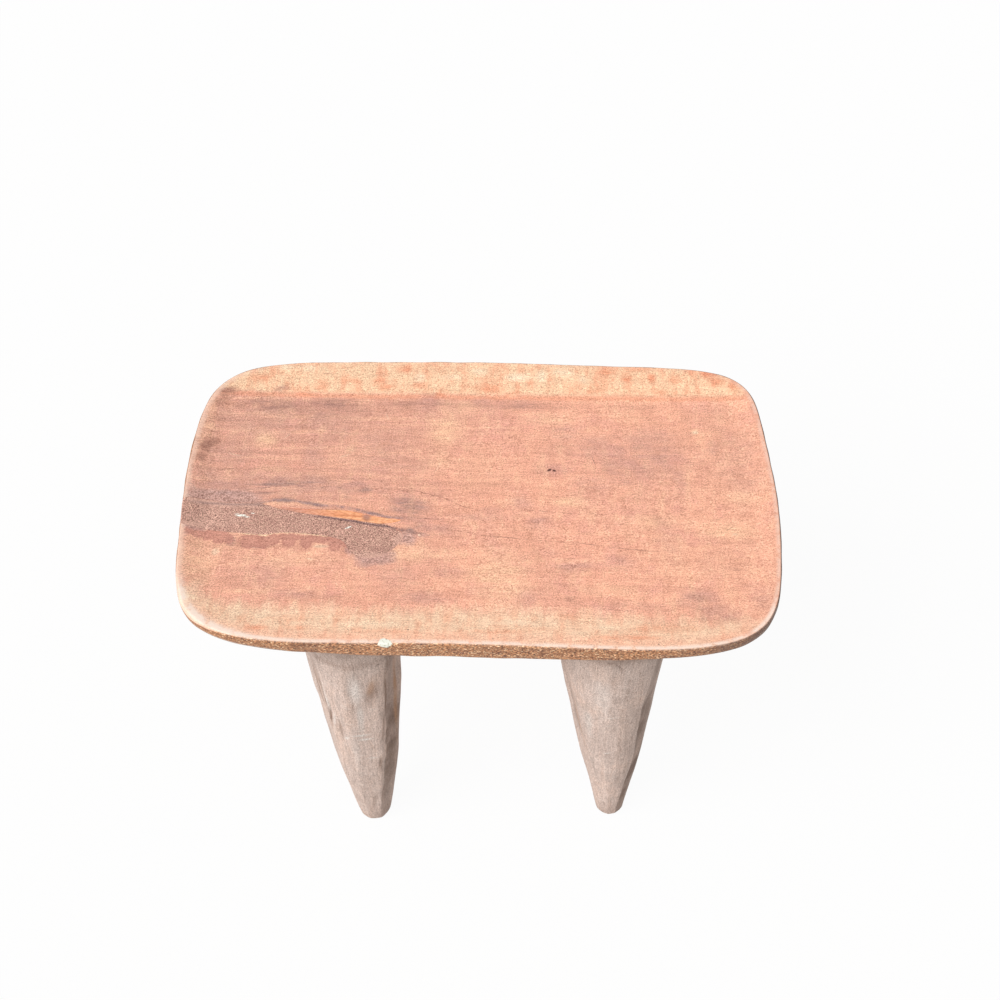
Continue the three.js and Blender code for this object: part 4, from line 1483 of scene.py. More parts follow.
        # The margin's last strip, out to the arris.
        for share in (0.5, 0.25, 0.1, 0.0):
            inset = top_radius + (self.band - top_radius) * share
            height = np.minimum(self.top_height(self.outline.moved_in(angle, inset)), crest)
            rings.append((inset, height))
        # The top arris.
        for turn in np.linspace(0.0, np.pi / 2, 7)[1:]:
            inset = swell + (top_radius - swell) * (1.0 - np.sin(turn))
            rings.append((inset, crest - top_radius * (1.0 - np.cos(turn))))
        # The rim's face.
        for share in (0.25, 0.5, 0.75):
            height = crest - top_radius - (room - top_radius - low_radius) * share
            rings.append((swell * (1.0 - 0.6 * math.sin(math.pi * share)), height))
        # The lower arris.
        for turn in np.linspace(0.0, np.pi / 2, 6):
            inset = swell + low_radius * (1.0 - np.cos(turn))
            rings.append((inset, foot + low_radius * (1.0 - np.sin(turn))))
        moved = [np.column_stack([self.outline.moved_in(angle, i), height]) for i, height in rings]
        return np.concatenate(moved)

    def blank(self, name: str) -> bpy.types.Object:
        """Build the board before its crack and nick are cut: two faces and the strip between.

        Args:
            name: The object's name.

        Returns:
            The closed board.
        """
        columns, rows = self.grid[0] + 1, self.grid[1] + 1
        face = self.face_places()
        angle, border = self.border()
        rings = self.rim_rings(angle)
        upper = np.column_stack([face, self.top_height(face)])
        lower = np.column_stack([face, self.under_height(face)])
        count, loop = len(face), len(border)
        between = 2 * count + np.arange(len(rings)).reshape(-1, loop)
        strip = np.concatenate([border[None], between, (count + border)[None]])
        strip = np.concatenate([strip, strip[:, :1]], axis=1)
        sides = np.stack([strip[:-1, :-1], strip[1:, :-1], strip[1:, 1:], strip[:-1, 1:]], axis=-1)
        faces = (grid_faces(rows, columns), grid_faces(rows, columns, count)[:, ::-1], sides.reshape(-1, 4))
        return make_piece(name, np.concatenate([upper, lower, rings]), *faces)

    def keep_fields(self, piece: bpy.types.Object) -> None:
        """Store what the seat's finish reads: inset, rim, arris wear and painted highlight, and underside.

        Args:
            piece: The carved board.
        """
        places = vertex_places(piece)
        seen, left, front, height = places[:, :2], -places[:, 0], -places[:, 1], places[:, 2]
        inset, outward = self.outline.inset(seen)
        drop = self.top - 1.0 * MM - height
        near = 1.0 - ease(inset, 2.0 * MM, 7.0 * MM)
        corner = self.outline.near_worn_corner(seen, 48 * MM)
        # Arris wear and painted highlight: palest where it faces the front, widest near the worn corner.
        leftward = ease(-outward[:, 0], 0.3, 0.9) * ease(front, 78 * MM, 110 * MM)
        lit = ease(-outward[:, 1], 0.1, 0.6) + 0.45 * ease(outward[:, 0], 0.3, 0.9) + 0.6 * leftward
        arris_width = (1.5 + 5.0 * corner) * MM
        arris = np.exp(-(((inset - 2.8 * MM - 3 * MM * corner) / arris_width) ** 2))
        arris = arris * (1.0 - ease(drop, -0.5 * MM, 0.8 * MM)) * np.clip(lit, 0.1, 1.0)
        # The bare underside starts a little up the rim, and higher towards the left end.
        thickness = self.thickness(seen)
        middle, foot = self.top - 0.5 * thickness - 3 * MM, self.top - thickness
        pale_foot = (1.8 + 4.0 * ease(left, 110 * MM, 180 * MM)) * MM
        under = near * ease(foot - height, -pale_foot, -0.45 * pale_foot)
        under = np.maximum(under, (height < middle) * ease(inset, 2 * MM, 4 * MM))
        # The brown rim starts where the face drops off, or where it turns outward.
        rolled = ease(drop - self.soft_corner * corner, -0.9 * MM, 0.3 * MM)
        turned = (1.0 - ease(inset, 0.5 * MM, 1.9 * MM)) * (1.0 - corner)
        front_border = np.interp(places[:, 0] / MM, *np.array(FRONT_BORDER_MM).T)
        fields = {
            "tool_share": self.tooled(seen),
            "inset_mm": inset / MM,
            "rim_share": near * np.maximum(rolled, turned),
            "arris_share": arris * (0.9 + 0.2 * corner),
            "under_share": under,
            "front_mm": places[:, 1] / MM - front_border,
            "stain": stain_colours(places, SEAT_STAINS),
            "halo_share": soft_stain(places, PASTE_DUST),
            "smear_mm": crisp_stain(places, RED_SMEARS),
        }
        for name, values in fields.items():
            store(piece, name, values)
        for line in SEAT_LINES:
            line.store(piece)


@dataclass
class CrackRepair:
    """The crack at the left end, with its paste and its splint, each in its own pocket.

    Attributes:
        left_end: The x of the seat's left end, in metres.
        field: Height of the seat's field.
        length: Length of the crack from the left end.
        width: Width that the edge shares count across.
        line_y: The y of the crack's line.
        paste_depth: Depth of the paste's pocket below the field.
        splint_depth: Depth of the splint's slot.
        seam: Clearance between a fill and its pocket.
        headroom: How far the cutting prisms reach above the field.
        paste_sink: How far the paste's top lies below the board's.
        splint_sink: How far the splint's top does.
        rough_under: How far below the field a fill is still rough.
        lump_height: Height of the paste's lumps.
        grain_height: Usual height of its grains.
        fibre_height: Height of the splint's fibres.
        paste_edge_shares: The paste's edge, in shares of the crack's length and width.
        splint_edge_shares: The splint's edge, likewise.
    """

    left_end: float
    field: float
    length: float = 200.0 * MM
    width: float = 40.0 * MM
    line_y: float = -18.0 * MM
    paste_depth: float = 3.5 * MM
    splint_depth: float = 5.0 * MM
    seam: float = 0.05 * MM
    headroom: float = 12 * MM
    paste_sink: float = 0.25 * MM
    splint_sink: float = 0.3 * MM
    rough_under: float = 1.6 * MM
    lump_height: float = 0.16 * MM
    grain_height: float = 0.07 * MM
    fibre_height: float = 0.12 * MM
    paste_edge_shares: tuple[tuple[float, float], ...] = (
        (-0.02, 0.30), (0.12, 0.34), (0.20, 0.26), (0.28, 0.27), (0.37, 0.24), (0.43, 0.10),
        (0.53, 0.04), (0.62, -0.02), (0.73, -0.10), (0.82, -0.17), (0.90, -0.255), (0.95, -0.40),
        (0.99, -0.55), (0.965, -0.85), (0.92, -1.07), (0.86, -1.22), (0.80, -1.18), (0.765, -1.06),
        (0.743, -0.88), (0.725, -0.74), (0.67, -0.65), (0.59, -0.58), (0.50, -0.54), (0.44, -0.55),
        (0.39, -0.61), (0.33, -0.60), (0.27, -0.57), (0.19, -0.54), (0.05, -0.46), (-0.02, -0.40),
    )
    splint_edge_shares: tuple[tuple[float, float], ...] = (
        (0.42, 0.17), (0.53, 0.11), (0.62, 0.105), (0.70, 0.095), (0.76, 0.06), (0.805, -0.01),
        (0.86, -0.075), (0.92, -0.11), (0.975, -0.15), (0.95, -0.215), (0.90, -0.26),
        (0.85, -0.25), (0.80, -0.20), (0.75, -0.155), (0.69, -0.115), (0.625, -0.065),
        (0.55, -0.02), (0.475, 0.06),
    )

    def prism(
        self, shares: Sequence[tuple[float, float]], depth: float, clearance: float = 0.0
    ) -> bpy.types.Object:
        """An upright prism over an edge, rounded between its points and moved in by a clearance.

        Args:
            shares: The edge's points, in shares of the crack's length and width.
            depth: Depth of the pocket's floor below the seat's field, in metres.
            clearance: How far the prism stays off the pocket's walls and floor.

        Returns:
            The prism, which reaches above the seat.
        """
        edge = np.array(shares) * [self.length, self.width] + [self.left_end, self.line_y]
        for _ in range(2):
            ahead = np.roll(edge, -1, axis=0)
            edge = np.stack([0.75 * edge + 0.25 * ahead, 0.25 * edge + 0.75 * ahead], axis=1)
            edge = edge.reshape(-1, 2)
        ahead, behind = np.roll(edge, -1, axis=0), np.roll(edge, 1, axis=0)
        area = np.sum(edge[:, 0] * ahead[:, 1] - ahead[:, 0] * edge[:, 1])
        edge = edge + inward(ahead - behind) * np.sign(area) * clearance
        if area < 0:
            edge = edge[::-1]
        count = len(edge)
        low = np.column_stack([edge, np.full(count, self.field - (depth - clearance))])
        high = np.column_stack([edge, np.full(count, self.field + self.headroom)])
        caps = (np.arange(count)[::-1][None], (count + np.arange(count))[None])
        return make_piece("prism", np.concatenate([low, high]), grid_faces(2, count, closed=True), *caps)

    def pocket(self) -> bpy.types.Object:
        """The paste's pocket."""
        return self.prism(self.paste_edge_shares, self.paste_depth)

    def slot(self) -> bpy.types.Object:
        """The splint's slot."""
        return self.prism(self.splint_edge_shares, self.splint_depth)

    def roughen(self, piece: bpy.types.Object, relief: np.ndarray) -> None:
        """Lift a fill's top by a relief, and store the dark cracks that its finish reads.

        Args:
            piece: The fill.
            relief: The lift of each vertex, in metres.
        """
        places = vertex_places(piece)
        places[:, 2] += (places[:, 2] > self.field - self.rough_under) * relief
        move_vertices(piece, places)
        for line in CRACK_LINES:
            line.store(piece)
        soften(piece, SHARP_DEG)

    def paste(self, blank: bpy.types.Object) -> bpy.types.Object:
        """Paste that fills the pocket, a little below the wood, rough with grains.

        Args:
            blank: The uncut board, which gives the paste its top and its end.

        Returns:
            The paste.
        """
        fill, slot = self.prism(self.paste_edge_shares, self.paste_depth, self.seam), self.slot()
        piece = sunk_copy("crack_paste", blank, self.paste_sink)
        carve(piece, fill, Carve.KEEP_SHARED)
        carve(piece, slot, Carve.CUT)
        discard(fill, slot)
        refine(piece)
        places = vertex_places(piece)
        lumps = waves(places[:, :2], 9 * MM, GRAIN_SEED + 7) * self.lump_height
        grains = np.random.default_rng(GRAIN_SEED).normal(0.0, self.grain_height, len(places))
        self.roughen(piece, lumps + grains)
        store(piece, "thin_share", soft_stain(places, THIN_PASTE))
        return piece

    def splint(self, blank: bpy.types.Object) -> bpy.types.Object:
        """The splint in its slot, with fibres along it.

        Args:
            blank: The uncut board, which gives the splint its top.

        Returns:
            The splint.
        """
        fill = self.prism(self.splint_edge_shares, self.splint_depth, self.seam)
        piece = sunk_copy("crack_splint_strip", blank, self.splint_sink)
        carve(piece, fill, Carve.KEEP_SHARED)
        discard(fill)
        refine(piece)
        fibres = waves(vertex_places(piece)[:, :2] * (0.05, 1.0), 2.6 * MM, GRAIN_SEED + 8)
        self.roughen(piece, fibres * self.fibre_height)
        return piece


@dataclass
class RimChip:
    """The nick in the front arris and its filler.

    Attributes:
        outline: The seat seen from above.
        top: Height of the rim's top.
        x: Where the nick is along the seat.
        size: Its length, width and height.
        sink: How far its middle lies in from the outline and below the rim's top.
        seam: Clearance between the filler and the nick.
        sides: Vertices round the egg that cuts it.
    """

    outline: Outline
    top: float
    x: float = -70.0 * MM
    size: tuple[float, float, float] = (12.0 * MM, 8.0 * MM, 7.0 * MM)
    sink: float = 2.0 * MM
    seam: float = 0.05 * MM
    sides: int = 64

    def egg(self, name: str, clearance: float = 0.0) -> bpy.types.Object:
        """A lumpy egg at the arris: an ellipsoid whose radius wanders by a tenth.

        Args:
            name: The object's name.
            clearance: How much smaller it is all round, in metres.

        Returns:
            The egg.
        """
        front = self.outline.ring[self.outline.ring[:, 1] < 0]
        edge_y = np.interp(self.x, *front[np.argsort(front[:, 0])].T)
        rows = self.sides // 2
        turn = np.linspace(0.0, 2.0 * np.pi, self.sides, endpoint=False)
        lift = np.linspace(-np.pi / 2, np.pi / 2, rows + 1)[1:-1]
        lifts, turns = (a.ravel() for a in np.meshgrid(lift, turn, indexing="ij"))
        ball = np.stack([np.cos(lifts) * np.cos(turns), np.cos(lifts) * np.sin(turns), np.sin(lifts)], axis=1)
        ball = np.concatenate([ball, [[0.0, 0.0, -1.0], [0.0, 0.0, 1.0]]])
        lumps = 1.0 + 0.10 * waves(ball[:, :2] + ball[:, 2:], 1.3, GRAIN_SEED + 9)
        radii = np.array(self.size) / 2 - clearance
        centre = np.array([self.x, edge_y + self.sink, self.top - self.sink])
        places = ball * lumps[:, None] * radii + centre
        return make_piece(name, places, *capped_faces(rows - 1, self.sides))

    def filler(self, blank: bpy.types.Object) -> bpy.types.Object:
        """The filler: what a smaller egg shares with the uncut board.

        Args:
            blank: The uncut board.

        Returns:
            The filler.
        """
        piece = self.egg("rim_chip_filler", self.seam)
        carve(piece, blank, Carve.KEEP_SHARED)
        refine(piece)
        soften(piece, ROUND_DEG)
        return piece


@dataclass(frozen=True)
class Ridge:
    """The sharp edge of an adzed flat, beside which the next flat carries painted shade, as it faces away
    from the light.

    Attributes:
        points: Places down the edge on the unrolled leg: x round it and the height, in mm, and
        how strong the painted shade on the flat to the right of it is there.
        width_mm: How far to the right the flat reaches.
    """

    points: tuple[tuple[float, float, float], ...]
    width_mm: float = 40.0

    def shade(self, unrolled: np.ndarray) -> np.ndarray:
        """Share of the painted shade at each place of the unrolled leg, with a crisp left border.

        Args:
            unrolled: One row of x and height per place, in metres.

        Returns:
            Shares from 0 to 1.
        """
        edge, height, darkness = np.array(self.points)[::-1].T
        aside = unrolled[:, 0] / MM - np.interp(unrolled[:, 1] / MM, height, edge)
        aside = aside + 1.1 * waves(unrolled * (0.4, 1.0), 14 * MM, GRAIN_SEED + 10)
        strength = np.interp(unrolled[:, 1] / MM, height, darkness)
        fade = 1.0 - ease(aside, 0.4 * self.width_mm, self.width_mm + 14.0)
        return strength * ease(aside, -0.9, 0.9) * fade


@dataclass(frozen=True)
class Leg:
    """One tapering adzed leg, from its flat foot to where it grows out of the seat.

    Marks on it lie on its unrolled face: x runs round it from its front, y is the height.

    Attributes:
        node: The CAD node that it stands for.
        foot_share: Where its foot is, in shares of the seat's half length and half depth.
        lean_share: How far its foot stands out from its root in x and y, in shares of the splay.
        root_share: Its radius at the seat, in shares of the usual one.
        tip_share: Its radius just above the foot's rounding, likewise.
        fullness: 1 tapers evenly, and less keeps the leg stout for longer.
        flats: The main adzed flats: bearing in degrees at the foot and at the root, and
            distance from the leg's axis in shares of the radius.
        seed: Seed of the lesser flats and of the unevenness.
        grooves: Long cuts, with their depth in millimetres as strength.
        tinted: Marks for each field that the leg's finish reads.
        ridges: Edges of the flats that carry painted shade.
        root_radius: The usual radius at the seat.
        tip_radius: The usual radius above the foot.
        splay: The usual lean.
        foot_rounding: Radius of the rounding round the foot.
        flare: How much wider the root gets where it runs into the seat.
        flare_height: How far down it does so.
        sides: Vertices round the leg.
        rings: Rings of vertices up the leg.
        lesser_flats: How many small flats lie between the main ones.
        sharpness: How sharp the ridges between the flats are.
        fibre_height: Height of the fibres.
        chip_depth: Depth of the adze chips.
        chip_spacing: The usual distance between two of them.
        sunk_in: How far the root reaches into the seat, so that no gap shows.
    """

    node: str
    foot_share: tuple[float, float]
    lean_share: tuple[float, float]
    root_share: float
    tip_share: float
    fullness: float
    flats: tuple[tuple[float, float, float], ...]
    seed: int
    grooves: tuple[Mark, ...] = ()
    tinted: Mapping[str, tuple[Mark, ...]] = field(default_factory=dict)
    ridges: tuple[Ridge, ...] = ()
    root_radius: float = 48.0 * MM
    tip_radius: float = 15.0 * MM
    splay: float = 5.0 * MM
    foot_rounding: float = 3.4 * MM
    flare: float = 4.0 * MM
    flare_height: float = 30.0 * MM
    sides: int = 216
    rings: int = 230
    lesser_flats: int = 8
    sharpness: float = 130.0
    fibre_height: float = 0.07 * MM
    chip_depth: float = 0.5 * MM
    chip_spacing: float = 19 * MM
    sunk_in: float = 0.8 * MM

    def radius(self, share: np.ndarray, height: float) -> np.ndarray:
        """Radius up the leg: tip + (root - tip) * share^fullness, with a flare at the root.

        Args:
            share: Height shares from the floor to the seat.
            height: The leg's whole height in metres.

        Returns:
            The radii before the flats are cut.
        """
        root, tip = self.root_radius * self.root_share, self.tip_radius * self.tip_share
        body = tip + (root - tip) * share**self.fullness
        return body + self.flare * ease(share * height, height - self.flare_height, height) ** 2

    def flat_share(self, bearing: np.ndarray, share: np.ndarray) -> np.ndarray:
        """How far the adzed flats cut the round: a soft least of flats and the round itself.

        Each flat is reach / cos(angle from its bearing). Bearings wander and reaches rise and
        fall slowly up the leg, as one stroke follows another. The foot is rounder and slimmer.

        Args:
            bearing: Angles round the leg, as one row.
            share: Height shares, as one column.

        Returns:
            Shares of the radius, one per height and angle.
        """
        rng = np.random.default_rng(self.seed)
        count = self.lesser_flats
        lesser = 360.0 * np.arange(count) / count + rng.uniform(-15, 15, count)
        flats = [*self.flats, *((turn, turn, rng.uniform(0.962, 0.99)) for turn in lesser)]
        blend = np.ones((len(share), bearing.shape[1]))
        for number, (foot_deg, root_deg, reach) in enumerate(flats):
            phases = rng.uniform(0.0, 2.0 * np.pi, 5)
            # The main flats wander less than the lesser ones.
            calm = 0.45 if number < len(self.flats) else 1.0
            sway = 0.09 * np.sin(5.0 * share + phases[0]) + 0.04 * np.sin(17.0 * share + phases[1])
            sway = calm * sway + 0.018 * np.sin(41.0 * share + phases[4])
            stroke = 0.008 * np.sin(13.0 * share + phases[2]) + 0.005 * np.sin(31.0 * share + phases[3])
            turn = np.radians(foot_deg + (root_deg - foot_deg) * share)
            facing = np.clip(np.cos(bearing - turn - sway), 0.25, 1.0)
            blend = blend + ((reach + stroke) / facing) ** -self.sharpness
        worn_foot = 0.4 + 0.6 * ease(share, 0.0, 0.16)
        slimming = 1.0 - 0.11 * (1.0 - ease(share, 0.0, 0.34))
        return 1.03 * slimming * (1.0 - worn_foot * (1.0 - blend ** (-1.0 / self.sharpness)))

    def relief(self, unrolled: np.ndarray, slim: np.ndarray) -> np.ndarray:
        """Fibres, adze chips and grooves on the unrolled leg.

        Args:
            unrolled: One row of x and height per place, in metres.
            slim: How much of the fibres and chips shows where the leg gets slim.

        Returns:
            The heights of the relief, in metres.
        """
        fibres = waves(unrolled * (1.0, 0.05), 3.2 * MM, self.seed + 1, 14)
        slant = unrolled @ np.array([[1.0, 0.10], [0.2, 0.36]])
        chips = scoops(slant - [0.0, 0.06], 0.19, self.chip_spacing, self.seed + 2)
        relief = (self.fibre_height * fibres + self.chip_depth * (chips - 0.7)) * slim
        for groove in self.grooves:
            relief -= groove.strength * MM * (1.0 - ease(groove.reach(unrolled), 0.0, 1.1))
        return relief

    def build(self, board: SeatBoard) -> bpy.types.Object:
        """Build the leg up to the seat's underside, and store what its finish reads.

        Args:
            board: The seat that it carries.

        Returns:
            The leg.
        """
        lean = np.array(self.lean_share) * self.splay
        foot = np.array(self.foot_share) * [board.outline.half_length, board.outline.half_depth]
        root = foot - lean
        height = float(board.under_height(root[None])[0])
        bearing = np.linspace(-np.pi, np.pi, self.sides, endpoint=False)[None]
        turns = np.linspace(0.0, np.pi / 2, 10)[:-1]
        low = self.foot_rounding * (1.0 - np.cos(turns)) / height
        upper = np.linspace(self.foot_rounding / height, 1.0, self.rings - len(turns))
        share = np.concatenate([low, upper])[:, None]
        radius = self.radius(share, height) * self.flat_share(bearing, share)
        round_front = (bearing + 1.5 * np.pi) % (2.0 * np.pi) - np.pi
        around = np.broadcast_to(round_front, radius.shape).ravel() * (self.root_radius * self.root_share)
        upward = np.broadcast_to(share, radius.shape).ravel()
        unrolled = np.stack([around, upward * height], axis=1)
        radius = radius + self.relief(unrolled, 0.35 + 0.65 * upward).reshape(radius.shape)
        lift = np.clip(share * height / self.foot_rounding, 0.0, 1.0)
        radius = radius - self.foot_rounding * (1.0 - np.sqrt(1.0 - (1.0 - lift) ** 2))
        x = root[0] + lean[0] * (1.0 - share) + radius * np.cos(bearing)
        y = root[1] + lean[1] * (1.0 - share) + radius * np.sin(bearing)
        crown = board.under_height(np.stack([x[-1], y[-1]], axis=1)) + self.sunk_in
        z = share * (height + (crown - height)[None] * ease(share, 0.6, 1.0))
        hubs = np.array([[*foot, 0.0], [*root, height]])
        places = np.concatenate([np.stack([x, y, z], axis=-1).reshape(-1, 3), hubs])
        piece = make_piece(self.node + "_adzed", places, *capped_faces(self.rings, self.sides))
        shares = {name: soft_stain(unrolled, self.tinted.get(name, ())) for name in LEG_FIELDS}
        # The flats to the right of each ridge carry painted shade.
        dark = [ridge.shade(unrolled) for ridge in self.ridges]
        shares[PAINTED_SHADE_FIELD] = np.max([np.zeros(len(unrolled)), *dark], axis=0)
        for name, values in shares.items():
            store(piece, name, np.concatenate([values, [0.0, 0.0]]))
        soften(piece, ROUND_DEG)
        return piece


LEGS = (
    Leg(
        node="leg_front_left",
        foot_share=(-0.416, -0.70),
        lean_share=(-0.4, -1.0),
        root_share=0.92,
        tip_share=1.03,
        fullness=0.67,
        flats=(
            (-36, -10, 0.875), (-86, -72, 0.935), (-122, -112, 0.955), (-152, -148, 0.93), (165, 170, 0.95),
        ),
        seed=GRAIN_SEED * 2,
        grooves=marks_of(
            (-34, 240, 56, 5, 92, 1.3), (-31, 203, 50, 5, 80, 1.4), (-44, 244, 60, 4, 96, 1.0),
            (-19, 190, 44, 4, 90, 0.8), (35, 262, 60, 3, 92, 0.8), (24, 128, 26, 6, 80, 0.8),
        ),
        tinted={
            "leg_brown": marks_of(
                (21, 256, 54, 16, 76, 0.6), (-34, 240, 60, 5, 94, 1.0), (-31, 203, 54, 5, 80, 1.0),
                (-20, 190, 44, 4, 90, 0.7), (-44, 244, 70, 5, 96, 0.9), (24, 128, 28, 8, 84, 0.7),
                (35, 240, 100, 4, 90, 0.8), (-38, 262, 60, 12, 94, 0.4), (30, 190, 60, 5, 86, 0.6),
                # The band at 300 mm is painted shade under the seat.
                (-2, 300, 90, 12, 0, 0.3), (8, 45, 46, 10, 70, 0.35),
            ),
            "leg_chalk": marks_of(
                (4, 262, 60, 14, 92, 0.7), (3, 184, 28, 3.4, 0, 1.0), (8, 176, 22, 3.2, 0, 1.0),
                (-15, 177, 11, 5, 40, 1.0), (14, 139, 22, 3.0, -8, 0.9), (6, 215, 60, 9, 88, 0.6),
                (-29, 238, 56, 3.4, 94, 0.8), (-26, 203, 50, 3.4, 80, 0.8), (-40, 250, 60, 3.4, 96, 0.7),
                (-6, 150, 60, 12, 88, 0.4),
            ),
            "leg_orange": marks_of(
                (60, 225, 190, 12, 92, 0.7), (-39, 232, 120, 4, 94, 0.5), (20, 264, 30, 9, 76, 0.5),
            ),
            "leg_ink": marks_of(
                (28, 296, 5, 3, 0, 0.8), (36, 190, 70, 1.8, 92, 0.7), (-8, 92, 12, 1.8, -50, 0.6),
            ),
        },
        ridges=(
            Ridge((
                (36, 335, 0.5), (36, 288, 0.45), (33, 277, 0.4), (32, 253, 0.35), (34, 227, 0.4),
                (36, 204, 0.6), (37, 179, 0.85), (33, 164, 0.8), (34, 136, 0.8), (29, 109, 0.7),
                (28, 76, 0.6), (22, 47, 0.4), (18, 0, 0.2),
            )),
        ),
    ),
    Leg(
        node="leg_front_right",
        foot_share=(0.47, -0.645),
        lean_share=(1.0, -0.8),
        root_share=1.09,
        tip_share=0.95,
        fullness=0.90,
        flats=((-44, -16, 0.91), (-84, -66, 0.99), (-116, -104, 0.95), (-158, -150, 0.955)),
        seed=GRAIN_SEED * 3,
        grooves=marks_of((5, 307, 26, 2.5, -60, 0.6), (-40, 240, 60, 4, 96, 0.5), (22, 150, 40, 3, 92, 0.5)),
        tinted={
            # The band at 318 mm is painted shade under the seat.
            "leg_brown": marks_of((-56, 215, 130, 8, 98, 0.4), (2, 318, 90, 20, 0, 0.4)),
            "leg_chalk": marks_of(
                (-7, 146, 12, 2.2, 4, 1.0), (-12, 250, 90, 24, 88, 0.35), (2, 217, 26, 2.0, 2, 0.6),
                (-30, 200, 60, 12, 90, 0.35),
            ),
            "leg_orange": marks_of((-48, 190, 200, 5, 97, 0.35)),
            "leg_ink": marks_of(
                (5, 308, 22, 2.0, -60, 0.9), (17, 131, 14, 1.8, 0, 0.7), (-3, 316, 8, 4, 0, 0.7),
            ),
        },
        ridges=(
            Ridge(
                ((14, 335, 0.0), (14, 271, 0.1), (9, 236, 0.25), (9, 124, 0.2), (7, 76, 0.1), (4, 0, 0.0)),
                22.0,
            ),
            Ridge((
                (45, 335, 0.35), (41, 260, 0.5), (37, 236, 0.65), (36, 196, 0.85), (38, 159, 0.95),
                (42, 124, 0.95), (38, 82, 0.95), (29, 34, 0.85), (22, 0, 0.6),
            )),
        ),
    ),
    Leg(
        node="leg_rear_left",
        foot_share=(-0.43, 0.66),
        lean_share=(-0.8, 0.8),
        root_share=0.96,
        tip_share=1.0,
        fullness=0.74,
        flats=((30, 42, 0.91), (95, 84, 0.95), (150, 160, 0.94), (-60, -70, 0.95)),
        seed=GRAIN_SEED * 4,
        grooves=marks_of((118, 230, 70, 4, 92, 0.8)),
        tinted={
            "leg_brown": marks_of((100, 200, 240, 20, 92, 0.5)),
            "leg_chalk": marks_of((-110, 220, 90, 22, 88, 0.4)),
        },
    ),
    Leg(
        node="leg_rear_right",
        foot_share=(0.46, 0.65),
        lean_share=(0.8, 1.0),
        root_share=1.0,
        tip_share=0.97,
        fullness=0.78,
        flats=((10, 4, 0.93), (70, 78, 0.945), (120, 130, 0.92), (-120, -112, 0.95)),
        seed=GRAIN_SEED * 5,
        grooves=marks_of((-128, 200, 80, 4, 88, 0.8)),
        tinted={
            "leg_brown": marks_of((-100, 180, 240, 22, 88, 0.5)),
            "leg_chalk": marks_of((120, 240, 90, 22, 92, 0.4)),
        },
    ),
)


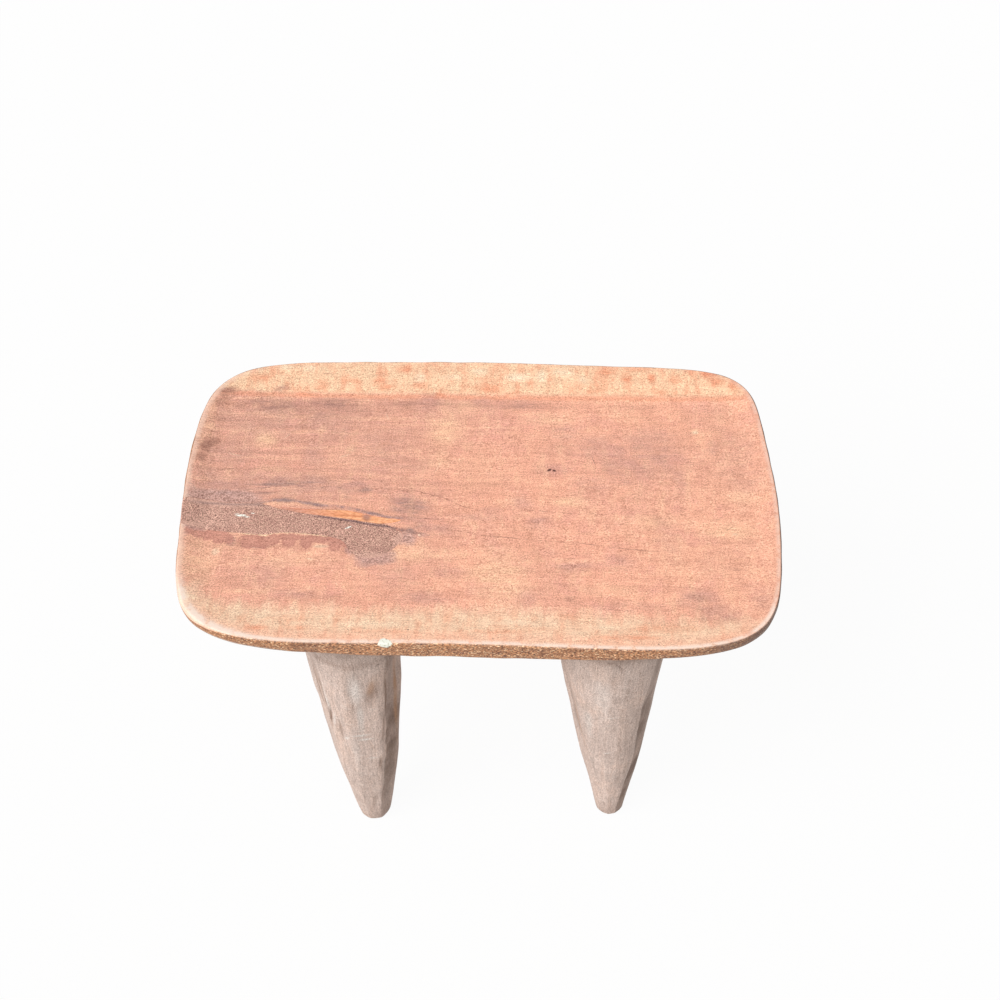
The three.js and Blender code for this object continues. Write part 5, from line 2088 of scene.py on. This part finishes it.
@dataclass
class Studio:
    """A plain pale floor, soft daylight from the front left and the photograph's camera.

    Attributes:
        seat_middle: Middle of the rim's top, which the camera is placed from.
        elevation_deg: How far the camera looks down.
        turn_deg: How far it stands to the right of the seat's front.
        roll_deg: How far it is tilted.
        distance: From the camera to the seat's middle, along its view.
        aim: How far right of and above the view's middle the seat's middle lies, in metres.
        lens_mm: Focal length for the sensor.
        sensor_mm: Width of the sensor.
        sky_strength: How bright the sky lights the stool. The camera sees it as plain white.
        sun_strength: How bright the lamp is.
        sun_softness_deg: How wide the lamp is.
        sun_elevation_deg: How high it stands.
        sun_azimuth_deg: Its bearing from +X.
        floor_size: Side of the floor, in metres.
        floor_glow: Share of the floor that is plain white to the camera, without shadow.
    """

    seat_middle: Vector
    elevation_deg: float = 51.0
    turn_deg: float = 3.55
    roll_deg: float = 2.0
    distance: float = 1.5219
    aim: tuple[float, float] = (-19.2 * MM, 4.1 * MM)
    lens_mm: float = 63.0
    sensor_mm: float = 36.0
    sky_strength: float = 0.44
    sun_strength: float = 2.6
    sun_softness_deg: float = 45.0
    sun_elevation_deg: float = 46.0
    sun_azimuth_deg: float = 220.0
    floor_size: float = 9.0
    floor_glow: float = 0.95

    def camera(self) -> None:
        """Place the camera where the photograph's outline fits the seat."""
        pitch, turn = math.radians(self.elevation_deg), math.radians(self.turn_deg)
        forward = Vector((0.0, math.cos(pitch), -math.sin(pitch)))
        up = Vector((0.0, math.sin(pitch), math.cos(pitch)))
        right = Vector((1.0, 0.0, 0.0))
        roll = math.radians(self.roll_deg)
        tilted_right = right * math.cos(roll) - up * math.sin(roll)
        tilted_up = right * math.sin(roll) + up * math.cos(roll)
        place = -right * self.aim[0] - up * self.aim[1] - forward * self.distance
        swing = Matrix.Rotation(turn, 3, "Z")
        axes = [swing @ axis for axis in (tilted_right, tilted_up, -forward)]
        lens = bpy.data.cameras.new("photo_camera")
        lens.lens, lens.sensor_width = self.lens_mm, self.sensor_mm
        camera = add_object("photo_camera", lens)
        pose = Matrix(axes).transposed().to_4x4()
        pose.translation = self.seat_middle + swing @ place
        camera.matrix_world = pose
        bpy.context.scene.camera = camera

    def light(self) -> None:
        """Light the stool with a pale sky and one broad soft lamp at the front left."""
        recipe = Recipe(bpy.data.worlds.new("pale_sky"))
        bpy.context.scene.world = recipe.owner
        level = recipe.add("MapRange", {0: recipe.seen_directly(), 3: self.sky_strength, 4: 1.0})
        sky = recipe.add("Background", {"Color": WHITE, "Strength": level})
        recipe.add("OutputWorld", {"Surface": sky})
        lamp = bpy.data.lights.new("soft_daylight", "SUN")
        lamp.energy, lamp.angle = self.sun_strength, math.radians(self.sun_softness_deg)
        sun = add_object("soft_daylight", lamp)
        height, bearing = math.radians(self.sun_elevation_deg), math.radians(self.sun_azimuth_deg)
        level_share = math.cos(height)
        towards = (level_share * math.cos(bearing), level_share * math.sin(bearing), math.sin(height))
        sun.rotation_mode = "QUATERNION"
        sun.rotation_quaternion = Vector(towards).to_track_quat("Z", "Y")

    def floor(self) -> None:
        """Lay the floor, white to the camera with a light shadow of the stool on it."""
        corners = np.array([[-1, -1, 0], [1, -1, 0], [1, 1, 0], [-1, 1, 0]]) * self.floor_size / 2
        plane = make_piece("pale_floor", corners, np.array([[0, 1, 2, 3]]))
        recipe = Recipe(bpy.data.materials.new("pale_floor"))
        matt = recipe.add("BsdfDiffuse", {"Color": linear("#E6E4E2")})
        white = recipe.add("Emission", {"Color": WHITE, "Strength": 1.0})
        share = recipe.add("Math", {0: recipe.seen_directly(), 1: self.floor_glow}, operation="MULTIPLY")
        surface = recipe.add("MixShader", {0: share, 1: matt, 2: white})
        recipe.add("OutputMaterial", {"Surface": surface})
        plane.data.materials.append(recipe.owner)
        plane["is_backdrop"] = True


def dress(piece: bpy.types.Object, finish: bpy.types.Material, node: str) -> None:
    """Give a piece its finish, hang it under the root, and hide the CAD node that it replaces.

    Args:
        piece: The piece.
        finish: Its material.
        node: The CAD node that it replaces.
    """
    piece.data.materials.clear()
    piece.data.materials.append(finish)
    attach(piece, "root")
    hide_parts(node)
    LOG.info("%s stands for %s, %d faces", piece.name, node, len(piece.data.polygons))


def main() -> None:
    logging.basicConfig(level=logging.INFO, format="%(name)s: %(message)s")
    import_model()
    cad_low, cad_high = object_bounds()
    half_length, half_depth = (cad_high.x - cad_low.x) / 2, (cad_high.y - cad_low.y) / 2
    top = cad_high.z
    studio = Studio(Vector((-0.65 * MM, -0.95 * MM, top)))
    studio.camera()
    studio.light()
    studio.floor()

    outline = Outline(half_length, half_depth)
    board = SeatBoard(outline, top)
    crack = CrackRepair(-half_length, top - board.dish_depth)
    chip = RimChip(outline, top)
    blank = board.blank("seat_blank")
    seat = board.blank("seat_carved")
    cutters = (crack.pocket(), crack.slot(), chip.egg("rim_chip_egg"))
    for cutter in cutters:
        carve(seat, cutter, Carve.CUT)
    soften(seat, SHARP_DEG)
    board.keep_fields(seat)
    dress(seat, OiledHardwood().material(), "seat_board")
    dress(crack.paste(blank), SawdustPaste().material(), "crack_paste_fill")
    dress(crack.splint(blank), FreshSplint().material(), "crack_splint")
    dress(chip.filler(blank), WhiteFiller().material(), "rim_chip_fill")
    discard(blank, *cutters)

    bare_wood = WeatheredHardwood().material()
    for leg in LEGS:
        dress(leg.build(board), bare_wood, leg.node)

    bpy.context.scene.view_settings.view_transform = "Standard"


if __name__ == "__main__":
    main()
